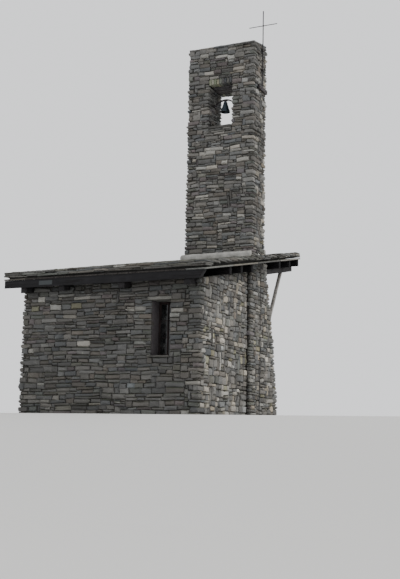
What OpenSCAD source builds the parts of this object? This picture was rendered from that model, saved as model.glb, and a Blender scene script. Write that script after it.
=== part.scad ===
// Stone bell tower that rises out of the corner of a small stone chapel.
// Millimetres, +Z up, origin on the ground at the centre of the tower's foot.
// The chapel's window side faces -Y, and the porch under the high side of the roof faces +Y.

/* [Tower] */
// Width of the tower from side to side
tower_w = 2370; // [2000:10:2600]
// Depth of the tower from front to back
tower_d = 1100; // [900:10:1300]
// Height of the tower's front top edge above the ground
tower_h = 12330; // [11800:10:13500]
// Height of the joint between the tower's foot and its shaft over the front eave
tower_foot_rise = 325; // [0:5:500]
// Thickness of the coping at its front edge
coping_t = 110; // [70:5:160]
// Rise of the coping from its front edge to its rear edge
coping_rise = 200; // [50:10:300]

/* [Bell opening] */
// Width of the opening for the bell
opening_w = 810; // [700:10:1000]
// Height of the opening for the bell
opening_h = 1390; // [1250:10:1500]
// Height of masonry from the opening's top to the tower's front top edge
opening_drop = 1380; // [1200:10:1600]
// How far the opening lies right of the tower's centre
opening_shift = -15; // [-100:5:100]
// Thickness of the sill slab
sill_t = 80; // [50:5:120]
// How far the sill slab stands out of the tower
sill_nose = 30; // [10:5:60]
// Height of the upright stones over the opening
soldier_h = 230; // [150:10:300]
// How far the front row of upright stones ends over the opening's top
soldier_lift = 50; // [0:10:100]
// Depth of the upright stones from face to back
soldier_d = 250; // [150:10:350]
// Number of upright stones over the opening
soldier_n = 9; // [5:1:11]
// Joint between the upright stones
soldier_gap = 8; // [4:1:12]

/* [Bell] */
// Height of the swing axis over the opening's sill
pivot_rise = 845; // [800:5:900]
// How far the bell hangs in front of the tower's middle
bell_forward = 100; // [0:10:200]
// Outer radius of the bell's lip
bell_lip_r = 170; // [140:5:190]
// Outer radius of the bell's shoulder
bell_top_r = 62; // [50:2:75]
// How strongly the bell curves out to its lip, where 1 is straight
bell_flare = 1.2; // [1:0.1:2]
// Height of the bell from lip to shoulder
bell_h = 350; // [300:5:360]
// How far the bell's lip hangs under the swing axis
lip_drop = 250; // [220:5:280]
// Wall thickness of the bell
bell_wall = 14; // [10:1:20]
// Radius of the bell's crown boss
crown_r = 34; // [24:2:44]
// Radius of the clapper's ball
clapper_r = 27; // [20:1:32]
// Radius of the clapper's rod
clapper_rod_r = 8; // [6:1:12]
// Height of the arch of the headstock over the swing axis
yoke_rise = 175; // [165:5:200]
// Thickness of the headstock's iron
yoke_t = 40; // [30:2:50]
// Width of the headstock from front to back
yoke_w = 64; // [50:2:80]
// Radius of the headstock's pins
pin_r = 14; // [10:1:18]
// Radial clearance of the pins in their bearings
pin_clear = 0.1; // [0.05:0.01:0.1]
// Thickness of each bearing block
bearing_t = 50; // [40:2:60]
// Width of each bearing block
bearing_w = 120; // [90:5:150]
// Clearance between the headstock and the bearing blocks
swing_gap = 15; // [8:1:25]

/* [Cross] */
// Radius of the cross's upright bar
cross_r = 18; // [14:1:24]
// Height of the cross's top over the tower's front top edge
cross_rise = 1270; // [1000:20:1700]
// Distance from the cross's top down to its bar
cross_arm_drop = 520; // [350:10:650]
// Half the length of the cross bar
cross_arm_half = 495; // [350:5:600]
// Radius of the cross bar
cross_arm_r = 13; // [9:1:13]
// Distance from the tower's front top edge down to the foot bracket
cross_foot_drop = 1480; // [1200:10:1700]
// How far the cross stands behind the tower's centre
cross_y = 120; // [100:10:250]
// Gap between the cross and the tower
cross_gap = 12; // [6:1:25]
// Length of the foot bracket along the tower
cross_foot_l = 700; // [500:10:720]
// Height of the foot bracket
cross_foot_h = 140; // [100:10:180]
// Height of each strap that holds the cross
cross_strap_h = 36; // [30:2:80]
// Number of straps
cross_straps = 2; // [1:1:4]

/* [Chapel] */
// Width of the chapel from side to side
chapel_w = 6000; // [5400:50:6600]
// Distance from the tower's centre to the chapel's front face
chapel_front = 4040; // [3700:20:4600]
// Thickness of the chapel's walls
wall_t = 600; // [500:10:650]
// How far the tower stands proud of the chapel's right wall
tower_proud = 120; // [60:10:200]
// Thickness of the stone floor
floor_t = 150; // [100:10:200]

/* [Window] */
// Width of the window
window_w = 600; // [450:10:700]
// Height of the window
window_h = 1600; // [1300:10:1700]
// Height of the window's sill above the ground
window_z = 1700; // [1500:10:1750]
// Distance from the chapel's right face to the window's near side
window_inset = 940; // [850:10:1100]
// Thickness of the lintel slab over the window
window_lintel_t = 90; // [60:5:120]
// Length of lintel that rests on the wall at the left of an opening
lintel_rest = 120; // [60:5:160]
// Length of the window's lintel that rests on the wall at its right
lintel_rest_right = 50; // [40:5:160]
// How far lintels and sills stand out of the wall
slab_nose = 50; // [20:5:80]
// Thickness of the window's sill slab
window_sill_t = 50; // [30:5:80]
// Depth of the window's reveal
reveal = 480; // [350:10:500]
// Width of the window frame's timber
frame_w = 55; // [40:5:80]
// Depth of the window frame's timber
frame_d = 60; // [40:5:90]
// Width of the window's upright bar
window_bar_w = 26; // [16:2:40]
// Thickness of the window's glass
glass_t = 8; // [4:1:12]

/* [Doorway] */
// Width of the doorway
door_w = 1000; // [850:10:1100]
// Height of the doorway over the floor
door_h = 2050; // [1900:10:2200]
// Distance from the chapel's left face to the doorway
door_inset = 1400; // [1100:10:1500]
// Thickness of the lintel slab over the doorway
door_lintel_t = 130; // [90:5:180]
// Width of the door frame's timber
door_frame_w = 90; // [60:5:120]
// Depth of the door frame's timber
door_frame_d = 140; // [100:5:180]
// Distance from the rear face to the door frame
door_reveal = 200; // [100:10:300]
// Thickness of the door's boards
door_t = 50; // [35:5:70]
// Number of upright boards in the door
door_board_n = 6; // [4:1:8]
// Depth of the groove between two door boards
door_groove = 8; // [4:1:12]

/* [Roof] */
// Height of the roof boards' top at the front eave
eave_h = 4075; // [4030:5:4400]
// Pitch of the roof in degrees
roof_pitch = 12.1; // [10:0.1:14]
// Overhang of the roof over the front wall
front_overhang = 430; // [350:10:600]
// Overhang of the roof behind the tower
rear_overhang = 2910; // [2600:10:3200]
// Overhang of the roof past the left wall
left_overhang = 500; // [350:10:600]
// Overhang of the roof past the right wall
right_overhang = 350; // [250:10:450]
// Thickness of the roof boards and of the verge slabs
deck_t = 50; // [30:5:60]
// Height of the purlins
purlin_h = 235; // [200:5:300]
// Width of the purlins
purlin_w = 160; // [120:10:200]
// Length of the slanting cut at the right end of the eave beam
beam_cut = 150; // [60:10:250]
// Width of the rafters
rafter_w = 200; // [140:10:240]
// Height of the rafters
rafter_h = 170; // [140:10:220]
// Distance from a wall's outer face to the rafter that lies in it
rafter_inset = 250; // [200:10:300]
// Distance from the chapel's left face to its free-standing rafter
mid_rafter_inset = 1600; // [1200:10:2000]
// Thickness of the stone slabs with their bed at the lower edge of a course
slab_hi = 225; // [180:5:260]
// Thickness of the stone slabs with their bed at the upper edge of a course
slab_lo = 170; // [120:5:175]
// Depth of one course of stone slabs
course = 440; // [350:10:600]
// Length of one verge slab
verge_slab = 1120; // [800:20:1500]
// Joint between two verge slabs
verge_joint = 10; // [6:1:20]
// Height of the mortar collar round the tower
collar_h = 170; // [120:10:260]
// Thickness of the mortar collar round the tower
collar_t = 110; // [60:10:160]

/* [Buttresses and struts] */
// Depth of the buttress at the ground
buttress_foot = 1410; // [1200:10:1600]
// Depth of the buttress under the roof
buttress_head = 150; // [100:10:250]
// How far the buttress bellies out between its foot and its head
buttress_belly = 130; // [80:10:200]
// Thickness of the struts
strut_t = 100; // [80:5:130]
// Height at which the strut leaves the buttress
strut_z = 3100; // [2800:10:3300]
// Distance from the tower's rear face to the strut's top
strut_reach = 1960; // [1700:10:2200]
// Distance from the outer face to the rafter over the right buttress
porch_rafter_inset = 180; // [150:5:240]

/* [Fittings] */
// Radius of the earthing rod on the tower's right face
earth_r = 8; // [5:1:12]
// How far the earthing rod stands behind the tower's centre
earth_y = 230; // [100:10:300]
// Length of the plate on the eave beam
plate_l = 470; // [250:10:500]
// Height of the plate on the eave beam
plate_h = 130; // [80:10:160]
// Thickness of the plate on the eave beam
plate_t = 8; // [4:1:12]
// Distance from the chapel's left face to the plate on the eave beam
plate_inset = 820; // [400:10:900]

/* [Hidden] */

// Fineness of the round pieces
$fn = 48;
// Clearance of timber in its pocket in the wall
pocket_gap = 4;
// Clearance of joinery and of what is let into the masonry
fit_gap = 0.3;
// Gap at the sloping faces where the roof's layers lie on each other and on the walls
seat = 0.3;
// Thickness of the metal round a pin or the cross's upright bar
metal_cover = 20;
// Thickness of the metal round the headstock's pins at its bosses
boss_cover = 14;
// Length of the headstock's bosses
boss_l = 40;
// Distance from a pin's end to the jamb
pin_end_gap = 5;
// How far the headstock's pad stands past the crown at each side
pad_rim = 10;
// Length of a strap beyond the cross's upright bar at each side
strap_lap = 48;
// Extra length that carries a cut through a face
over = 1;
// Height that is taller than the whole building
sky = 20000;

right_x = tower_w / 2 - tower_proud;
left_x = right_x - chapel_w;
front_y = -chapel_front;
rear_y = tower_d / 2;
room_x0 = left_x + wall_t;
room_x1 = right_x - wall_t;
room_y0 = front_y + wall_t;
room_y1 = rear_y - wall_t;

eave_y = front_y - front_overhang;
ridge_y = rear_y + rear_overhang;
roof_x0 = left_x - left_overhang;
roof_x1 = right_x + right_overhang;
deck_x0 = left_x + wall_t / 2;
deck_x1 = right_x - wall_t / 2;
purlin_z = deck_t + purlin_h;
rafter_z = purlin_z + rafter_h;
timber_end = 60;

tower_foot_h = eave_h + tower_foot_rise;

opening_x0 = opening_shift - opening_w / 2;
opening_x1 = opening_shift + opening_w / 2;
opening_top = tower_h - opening_drop;
opening_z = opening_top - opening_h;
pivot_z = opening_z + pivot_rise;
pad_h = 24;
crown_top = yoke_rise - yoke_t / 2 - pad_h;

cross_x = tower_w / 2 + cross_gap + cross_r;
cross_top_z = tower_h + cross_rise;
cross_arm_z = cross_top_z - cross_arm_drop;
cross_foot_z = tower_h - cross_foot_drop;

window_x1 = right_x - window_inset;
window_x0 = window_x1 - window_w;
window_top = window_z + window_h;
frame_y = front_y + reveal;

door_x0 = left_x + door_inset;
door_x1 = door_x0 + door_w;
door_top = floor_t + door_h;
door_frame_y = rear_y - door_reveal - door_frame_d;

left_rafter_x = left_x + rafter_inset;
mid_rafter_x = left_x + mid_rafter_inset;
tower_rafter_x = -tower_w / 2 - rafter_w / 2 - pocket_gap;
right_rafter_x = right_x - rafter_inset;
porch_rafter_x = tower_w / 2 - porch_rafter_inset;

function roof_z(y) = eave_h + tan(roof_pitch) * (y - eave_y);
function between(a, b, t) = a + (b - a) * t;

// Centre lines of the purlins: three over the room, two over the porch and one at the high edge
purlin_ys = concat(
    [for (i = [1:3]) between(room_y0, room_y1, i / 4)],
    [for (i = [1:2]) between(rear_y, ridge_y, i / 3)],
    [ridge_y - timber_end - purlin_w / 2]);

// Draws its 2D children in the plane of Y and Z, extruded from x0 to x1
module along_x(x0, x1) {
    translate([x0, 0, 0])
        rotate([90, 0, 90])
            linear_extrude(x1 - x0)
                children();
}

// Draws its 2D children in the plane of X and Z, extruded from y0 to y1
module along_y(y0, y1) {
    translate([0, y1, 0])
        rotate([90, 0, 0])
            linear_extrude(y1 - y0)
                children();
}

module block(x0, x1, y0, y1, z0, z1) {
    translate([x0, y0, z0])
        cube([x1 - x0, y1 - y0, z1 - z0]);
}

// Strip that follows the roof from y0 to y1, between two heights over the boards' top
module slope_strip(y0, y1, low, high) {
    polygon([
        [y0, roof_z(y0) + low],
        [y1, roof_z(y1) + low],
        [y1, roof_z(y1) + high],
        [y0, roof_z(y0) + high]]);
}

// Outline of a wall from a height up to its top, which lies under the boards' top
module wall_outline(y0, y1, z0 = 0, top = -deck_t - seat) {
    polygon([
        [y0, z0],
        [y1, z0],
        [y1, roof_z(y1) + top],
        [y0, roof_z(y0) + top]]);
}

// Outline of a side wall, which ends under the purlins and leaves a gap under the roof
module side_wall_outline(y0, y1) {
    wall_outline(y0, y1, 0, -purlin_z - seat);
}

// Tunnel that a rafter takes through a wall, with its clearance at both sides and on top
module rafter_tunnel(x, y0, y1) {
    along_x(x - rafter_w / 2 - pocket_gap, x + rafter_w / 2 + pocket_gap)
        slope_strip(y0, y1, -rafter_z - seat, -purlin_z + pocket_gap);
}

module tower_block(z0, z1, gap = 0) {
    block(-tower_w / 2 - gap, tower_w / 2 + gap, -tower_d / 2 - gap, tower_d / 2 + gap, z0, z1);
}

module tower_foot() {
    color("dimgray")
        tower_block(0, tower_foot_h);
}

module tower_shaft() {
    color("dimgray")
        tower_block(tower_foot_h, opening_z - sill_t);
}

module bell_jamb_left() {
    color("dimgray")
        block(-tower_w / 2, opening_x0, -tower_d / 2, tower_d / 2, opening_z - sill_t, opening_top);
}

module bell_jamb_right() {
    color("dimgray")
        block(opening_x1, tower_w / 2, -tower_d / 2, tower_d / 2, opening_z - sill_t, opening_top);
}

// Masonry over the opening, with a rebate in each face for the upright stones
module tower_head() {
    color("dimgray")
        difference() {
            tower_block(opening_top, tower_h - coping_t);
            for (side = [-1, 1])
                soldier_bed(side);
        }
}

module soldier_bed(side) {
    mid = side * (tower_d / 2 - soldier_d / 2);
    translate([opening_shift, mid + side * over / 2, opening_top + soldier_h / 2 - over / 2])
        cube([opening_w, soldier_d + over, soldier_h + over], center = true);
}

module soldier_lintel() {
    pitch = opening_w / soldier_n;
    color("darkseagreen")
        for (side = [-1, 1], i = [0:soldier_n - 1]) {
            lift = side < 0 ? soldier_lift : 0;
            translate([opening_x0 + (i + 0.5) * pitch, side * (tower_d / 2 - soldier_d / 2),
                opening_top + (soldier_h + lift) / 2])
                cube([pitch - soldier_gap, soldier_d, soldier_h - lift], center = true);
        }
}

// Coping whose top falls from the rear edge to the front edge
module tower_coping() {
    base = tower_h - coping_t;
    color("gray")
        along_x(-tower_w / 2, tower_w / 2)
            polygon([
                [-tower_d / 2, base],
                [tower_d / 2, base],
                [tower_d / 2, tower_h + coping_rise],
                [-tower_d / 2, tower_h]]);
}

module bell_sill() {
    color("gray")
        block(opening_x0, opening_x1, -tower_d / 2 - sill_nose, tower_d / 2 + sill_nose,
            opening_z - sill_t, opening_z);
}

// Mortar collar that seals the roof slabs against the front, the left side and the back of the tower
module tower_collar() {
    color("lightgray")
        difference() {
            along_x(-tower_w / 2 - collar_t, tower_w / 2)
                difference() {
                    slope_strip(-tower_d / 2 - collar_t, tower_d / 2 + collar_t, slab_lo / 2, slab_hi + collar_h);
                    covering_outline();
                }
            block(-tower_w / 2, tower_w / 2 + over, -tower_d / 2, tower_d / 2, 0, sky);
        }
}

module front_wall_piece(x0, x1) {
    along_x(x0, x1)
        wall_outline(front_y, room_y0);
}

module window_lintel_bed() {
    block(window_x0 - lintel_rest, window_x1 + lintel_rest_right, front_y - over, room_y0 + over,
        window_top, window_top + window_lintel_t);
}

module front_wall_left() {
    color("dimgray")
        difference() {
            front_wall_piece(room_x0, window_x0);
            rafter_tunnel(mid_rafter_x, front_y - over, room_y0 + over);
            rafter_tunnel(tower_rafter_x, front_y - over, room_y0 + over);
            window_lintel_bed();
        }
}

module front_wall_right() {
    color("dimgray")
        difference() {
            front_wall_piece(window_x1, room_x1);
            window_lintel_bed();
        }
}

module front_wall_below() {
    color("dimgray")
        block(window_x0, window_x1, front_y, room_y0, 0, window_z - window_sill_t);
}

module front_wall_over() {
    color("dimgray")
        along_x(window_x0, window_x1)
            wall_outline(front_y, room_y0, window_top + window_lintel_t);
}

module left_wall() {
    color("dimgray")
        difference() {
            along_x(left_x, room_x0)
                side_wall_outline(front_y, rear_y);
            rafter_tunnel(left_rafter_x, front_y - over, rear_y + over);
        }
}

module right_wall() {
    color("dimgray")
        difference() {
            along_x(room_x1, right_x)
                side_wall_outline(front_y, -tower_d / 2);
            rafter_tunnel(right_rafter_x, front_y - over, -tower_d / 2 + over);
        }
}

module door_lintel_bed() {
    block(door_x0 - lintel_rest, door_x1 + lintel_rest, room_y1 - over, rear_y + over,
        door_top, door_top + door_lintel_t);
}

module rear_wall_left() {
    color("dimgray")
        difference() {
            along_x(room_x0, door_x0)
                wall_outline(room_y1, rear_y);
            rafter_tunnel(mid_rafter_x, room_y1 - over, rear_y + over);
            door_lintel_bed();
        }
}

module rear_wall_right() {
    color("dimgray")
        difference() {
            along_x(door_x1, -tower_w / 2)
                wall_outline(room_y1, rear_y);
            rafter_tunnel(tower_rafter_x, room_y1 - over, rear_y + over);
            door_lintel_bed();
        }
}

module rear_wall_over_door() {
    color("dimgray")
        difference() {
            along_x(door_x0, door_x1)
                wall_outline(room_y1, rear_y, door_top + door_lintel_t);
            rafter_tunnel(mid_rafter_x, room_y1 - over, rear_y + over);
        }
}

module floor_slab() {
    color("gray")
        linear_extrude(floor_t)
            difference() {
                translate([room_x0, room_y0])
                    square([room_x1 - room_x0, room_y1 - room_y0]);
                translate([-tower_w / 2, -tower_d / 2])
                    square([tower_w, tower_d]);
            }
}

module window_lintel() {
    color("silver")
        block(window_x0 - lintel_rest, window_x1 + lintel_rest_right, front_y - slab_nose, room_y0,
            window_top, window_top + window_lintel_t);
}

module window_sill() {
    color("gray")
        block(window_x0, window_x1, front_y - slab_nose, room_y0, window_z - window_sill_t, window_z);
}

// Timber frame with one upright bar, set deep in the reveal
module window_frame() {
    w = window_w - 2 * fit_gap;
    h = window_h - fit_gap;
    color("saddlebrown")
        translate([window_x0 + fit_gap, 0, window_z])
            along_y(frame_y, frame_y + frame_d)
                difference() {
                    square([w, h]);
                    for (i = [0, 1])
                        translate([frame_w + i * ((w - 2 * frame_w + window_bar_w) / 2), frame_w])
                            square([(w - 2 * frame_w - window_bar_w) / 2, h - 2 * frame_w]);
                }
}

// Two panes, one at each side of the upright bar
module window_glass() {
    w = window_w - 2 * fit_gap;
    h = window_h - fit_gap;
    pane = (w - 2 * frame_w - window_bar_w) / 2;
    y = frame_y + frame_d / 2;
    color("lightblue")
        for (i = [0, 1])
            translate([window_x0 + fit_gap + frame_w + i * (pane + window_bar_w) + fit_gap, 0,
                window_z + frame_w + fit_gap])
                along_y(y - glass_t / 2, y + glass_t / 2)
                    square([pane - 2 * fit_gap, h - 2 * frame_w - 2 * fit_gap]);
}

module door_lintel() {
    color("silver")
        block(door_x0 - lintel_rest, door_x1 + lintel_rest, room_y1, rear_y + slab_nose,
            door_top, door_top + door_lintel_t);
}

module door_frame() {
    w = door_w - 2 * fit_gap;
    h = door_h - fit_gap;
    color("sienna")
        translate([door_x0 + fit_gap, 0, floor_t])
            along_y(door_frame_y, door_frame_y + door_frame_d)
                difference() {
                    square([w, h]);
                    translate([door_frame_w, -over])
                        square([w - 2 * door_frame_w, h - door_frame_w + over]);
                }
}

// Closed door of upright boards with a groove at each joint on its outer face
module door_boards() {
    w = door_w - 2 * door_frame_w - 4 * fit_gap;
    h = door_h - door_frame_w - 3 * fit_gap;
    y1 = door_frame_y + door_frame_d;
    board = w / door_board_n;
    color("saddlebrown")
        translate([door_x0 + door_frame_w + 2 * fit_gap, 0, floor_t + fit_gap])
            difference() {
                along_y(y1 - door_t, y1)
                    square([w, h]);
                for (i = [1:door_board_n - 1])
                    translate([i * board, y1, h / 2])
                        cube([door_groove, 2 * door_groove, h + 2 * over], center = true);
            }
}

module door_threshold() {
    color("gray")
        block(door_x0, door_x1, room_y1, rear_y, 0, floor_t);
}

// Side view of a raking buttress: each point is its depth behind the rear face and its height
function buttress_point(t) =
    let (
        top_z = roof_z(rear_y + buttress_head) - deck_t - seat,
        straight = between(buttress_foot, buttress_head, t),
        belly = buttress_belly * sin(180 * t))
    [rear_y + straight + belly, top_z * t];

module buttress_outline() {
    steps = 6;
    polygon(concat(
        [[rear_y, roof_z(rear_y) - deck_t - seat], [rear_y, 0]],
        [for (i = [0:steps]) buttress_point(i / steps)]));
}

module buttress(x0, x1, rafter_x) {
    difference() {
        along_x(x0, x1)
            buttress_outline();
        rafter_tunnel(rafter_x, rear_y - over, ridge_y);
    }
}

module buttress_right() {
    color("dimgray")
        buttress(tower_w / 2 - wall_t, tower_w / 2, porch_rafter_x);
}

// The left buttress ends under the purlins, as the left wall does
module buttress_left() {
    color("dimgray")
        difference() {
            buttress(left_x, left_x + wall_t, left_rafter_x);
            along_x(left_x - over, left_x + wall_t + over)
                slope_strip(rear_y - over, ridge_y, -purlin_z - seat, over);
        }
}

// Strut that leans from the buttress to the underside of a rafter, cut to fit both
module strut(x) {
    head_y = rear_y + strut_reach;
    head = [head_y, roof_z(head_y) - rafter_z];
    toe = buttress_point(strut_z / (roof_z(rear_y + buttress_head) - deck_t));
    lean = atan2(head[1] - toe[1], head[0] - toe[0]);
    length = norm(head - toe);
    along_x(x - strut_t / 2, x + strut_t / 2)
        difference() {
            translate(toe)
                rotate(lean)
                    translate([-length / 2, -strut_t / 2])
                        square([2 * length, strut_t]);
            buttress_outline();
            polygon([[rear_y - over, 0], [toe[0] - strut_t, 0], toe - [strut_t, 0], [rear_y - over, strut_z]]);
            slope_strip(rear_y - sky, ridge_y + sky, -rafter_z - seat, sky);
        }
}

module strut_right() {
    color("darkgray")
        strut(porch_rafter_x);
}

module strut_left() {
    color("darkgray")
        strut(left_rafter_x);
}

module rafter(x, y0, y1) {
    along_x(x - rafter_w / 2, x + rafter_w / 2)
        slope_strip(y0, y1, -rafter_z, -purlin_z - seat);
}

module roof_rafters() {
    color("black") {
        for (x = [left_rafter_x, mid_rafter_x, tower_rafter_x])
            rafter(x, eave_y + timber_end, ridge_y - timber_end);
        rafter(right_rafter_x, eave_y + timber_end, -tower_d / 2);
        rafter(porch_rafter_x, rear_y, ridge_y - timber_end);
    }
}

module purlin(y) {
    along_x(roof_x0 + timber_end, roof_x1 - timber_end)
        slope_strip(y - purlin_w / 2, y + purlin_w / 2, -purlin_z, -deck_t - seat);
}

// Beam under the front eave, whose right end is cut on the slant
module eave_beam() {
    y0 = eave_y + timber_end / 2;
    x1 = roof_x1 - timber_end;
    low_z = roof_z(y0) - purlin_z;
    color("black")
        difference() {
            along_x(roof_x0 + timber_end, x1)
                slope_strip(y0, y0 + purlin_w, -purlin_z, -deck_t - seat);
            along_y(y0 - over, y0 + purlin_w + over)
                polygon([
                    [x1 - beam_cut, low_z - over],
                    [x1 + over, low_z - over],
                    [x1 + over, low_z + purlin_h]]);
        }
}

module eave_plate() {
    y = eave_y + timber_end / 2;
    mid_z = roof_z(y) - deck_t - purlin_h / 2;
    color("silver")
        block(left_x + plate_inset, left_x + plate_inset + plate_l, y - plate_t, y,
            mid_z - plate_h / 2, mid_z + plate_h / 2);
}

module roof_purlins() {
    color("black")
        for (y = purlin_ys)
            purlin(y);
}

module roof_boards() {
    color("black")
        difference() {
            along_x(deck_x0, deck_x1)
                slope_strip(eave_y + timber_end / 2, ridge_y - timber_end / 2, -deck_t, -seat);
            tower_block(0, sky, pocket_gap);
        }
}

// Side view of the covering: each course of slabs stands over the one below it at its lower edge
module covering_outline() {
    n = ceil((ridge_y - eave_y) / course);
    step = (ridge_y - eave_y) / n;
    top = [for (i = [0:n - 1], j = [0, 1])
        let (y = eave_y + (i + j) * step)
        [y, roof_z(y) + (j == 0 ? slab_hi : slab_lo)]];
    polygon(concat(top, [[ridge_y, roof_z(ridge_y)], [eave_y, roof_z(eave_y)]]));
}

module roof_slabs() {
    color("slategray")
        difference() {
            along_x(roof_x0, roof_x1)
                covering_outline();
            tower_block(0, sky, fit_gap);
        }
}

// Long thin slabs along both verges, in line with the roof boards, which carry the edge of the covering
module verge_slabs() {
    n = ceil((ridge_y - eave_y) / verge_slab);
    step = (ridge_y - eave_y) / n;
    color("lightslategray")
        for (x = [[roof_x0, deck_x0], [deck_x1, roof_x1]], i = [0:n - 1])
            difference() {
                along_x(x[0], x[1])
                    slope_strip(eave_y + i * step + verge_joint / 2, eave_y + (i + 1) * step - verge_joint / 2,
                        -deck_t, -seat);
                tower_block(0, sky, fit_gap);
            }
}

// Two blocks on the jambs, each rounded over its bore
module bell_bearings() {
    color("darkslategray")
        for (x = [opening_x0, opening_x1 - bearing_t])
            difference() {
                union() {
                    translate([x, -bell_forward, pivot_z])
                        rotate([0, 90, 0])
                            cylinder(r = bearing_w / 2, h = bearing_t);
                    block(x, x + bearing_t, -bell_forward - bearing_w / 2, bearing_w / 2 - bell_forward,
                        pivot_z - bearing_w / 2, pivot_z);
                }
                translate([x - over, -bell_forward, pivot_z])
                    rotate([0, 90, 0])
                        cylinder(r = pin_r + pin_clear, h = bearing_t + 2 * over);
            }
}

// Arched iron headstock: a bent bar, a boss at each end, a pin in each boss and a pad for the crown
module bell_headstock() {
    half = opening_w / 2 - bearing_t - swing_gap;
    boss_r = pin_r + boss_cover;
    mid_r = (half * half + yoke_rise * yoke_rise) / (2 * yoke_rise);
    pin_l = half + swing_gap + bearing_t - pin_end_gap;
    color("darkslategray")
        translate([opening_shift, -bell_forward, pivot_z]) {
            along_y(-yoke_w / 2, yoke_w / 2)
                intersection() {
                    translate([0, yoke_rise - mid_r])
                        difference() {
                            circle(r = mid_r + yoke_t / 2, $fn = 180);
                            circle(r = mid_r - yoke_t / 2, $fn = 180);
                        }
                    translate([-half, -yoke_t / 2])
                        square([2 * half, yoke_rise + yoke_t * 2]);
                }
            for (side = [-1, 1])
                translate([side * (half - boss_l / 2), 0, 0])
                    rotate([0, 90, 0])
                        cylinder(r = boss_r, h = boss_l, center = true);
            for (side = [-1, 1])
                translate([side * (pin_l + half - boss_l) / 2, 0, 0])
                    rotate([0, 90, 0])
                        cylinder(r = pin_r, h = pin_l - half + boss_l, center = true);
            block(-crown_r - pad_rim, crown_r + pad_rim, -yoke_w / 2, yoke_w / 2, crown_top, yoke_rise);
        }
}

// Outer radius of the bell at a share t of its height, wide at the lip and narrow at the shoulder
function bell_r(t) = bell_top_r + (bell_lip_r - bell_top_r) * pow(1 - t, bell_flare);

module bell() {
    steps = 14;
    shoulder_z = -lip_drop + bell_h;
    outer = [for (i = [0:steps]) [bell_r(i / steps), -lip_drop + bell_h * i / steps]];
    inner = [for (i = [0:steps])
        let (t = (steps - i) / steps)
        [bell_r(t) - bell_wall, -lip_drop + (bell_h - bell_wall) * t]];
    color("midnightblue")
        translate([opening_shift, -bell_forward, pivot_z]) {
            rotate_extrude()
                polygon(concat(outer, [[0, shoulder_z], [0, shoulder_z - bell_wall]], inner));
            translate([0, 0, shoulder_z])
                cylinder(r = crown_r, h = crown_top - shoulder_z);
        }
}

module clapper() {
    top = -lip_drop + bell_h - bell_wall;
    ball = -lip_drop + clapper_r;
    color("black")
        translate([opening_shift, -bell_forward, pivot_z]) {
            translate([0, 0, ball])
                sphere(r = clapper_r);
            translate([0, 0, ball])
                cylinder(r = clapper_rod_r, h = top - ball);
        }
}

module cross_upright() {
    color("dimgray")
        difference() {
            translate([cross_x, cross_y, cross_foot_z + cross_foot_h / 2])
                cylinder(r = cross_r, h = cross_top_z - cross_foot_z - cross_foot_h / 2);
            translate([cross_x, cross_y, cross_arm_z])
                rotate([0, 90, 0])
                    cylinder(r = cross_arm_r + fit_gap, h = 4 * cross_r, center = true);
        }
}

module cross_bar() {
    color("dimgray")
        translate([cross_x, cross_y, cross_arm_z])
            rotate([0, 90, 0])
                cylinder(r = cross_arm_r, h = 2 * cross_arm_half, center = true);
}

// Foot bracket and the straps that hold the cross to the tower's right face
module cross_brackets() {
    depth = cross_gap + 2 * cross_r + metal_cover;
    strap_l = 2 * (cross_r + strap_lap);
    color("black")
        difference() {
            union() {
                block(tower_w / 2, tower_w / 2 + depth, cross_y - cross_foot_l / 2, cross_y + cross_foot_l / 2,
                    cross_foot_z - cross_foot_h / 2, cross_foot_z + cross_foot_h / 2);
                for (i = [1:cross_straps])
                    translate([tower_w / 2, cross_y - strap_l / 2,
                        between(cross_foot_z, tower_h - coping_t, i / cross_straps) - cross_strap_h])
                        cube([depth, strap_l, cross_strap_h]);
            }
            translate([cross_x, cross_y, cross_foot_z + cross_foot_h / 2])
                cylinder(r = cross_r + fit_gap, h = tower_h);
        }
}

module earth_rod() {
    top = roof_z(earth_y - earth_r) - deck_t - seat;
    color("dimgray")
        translate([tower_w / 2 + earth_r + fit_gap, earth_y, 0])
            cylinder(r = earth_r, h = top);
}

tower_foot();
tower_shaft();
bell_jamb_left();
bell_jamb_right();
tower_head();
tower_coping();
bell_sill();
soldier_lintel();
tower_collar();
front_wall_left();
front_wall_right();
front_wall_below();
front_wall_over();
left_wall();
right_wall();
rear_wall_left();
rear_wall_right();
rear_wall_over_door();
floor_slab();
window_lintel();
window_sill();
window_frame();
window_glass();
door_lintel();
door_frame();
door_boards();
door_threshold();
buttress_right();
buttress_left();
strut_right();
strut_left();
roof_rafters();
eave_beam();
eave_plate();
roof_purlins();
roof_boards();
roof_slabs();
verge_slabs();
bell_bearings();
bell_headstock();
bell();
clapper();
cross_upright();
cross_bar();
cross_brackets();
earth_rod();
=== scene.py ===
"""Looks of a stone bell tower and the small chapel that it rises from.

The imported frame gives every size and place. Each sub-assembly below is a class that models its
pieces round the frame, dresses them in a finish and sets them on the body that they move with.
Lengths are metres, in the frame's own axes: +Z up and the chapel's window wall towards -Y.
"""

import logging
import math
from collections.abc import Callable, Iterator, Sequence
from contextlib import contextmanager
from dataclasses import dataclass, field
from enum import Enum

import bmesh
import bpy
import numpy as np
from mathutils import Matrix, Vector


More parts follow.
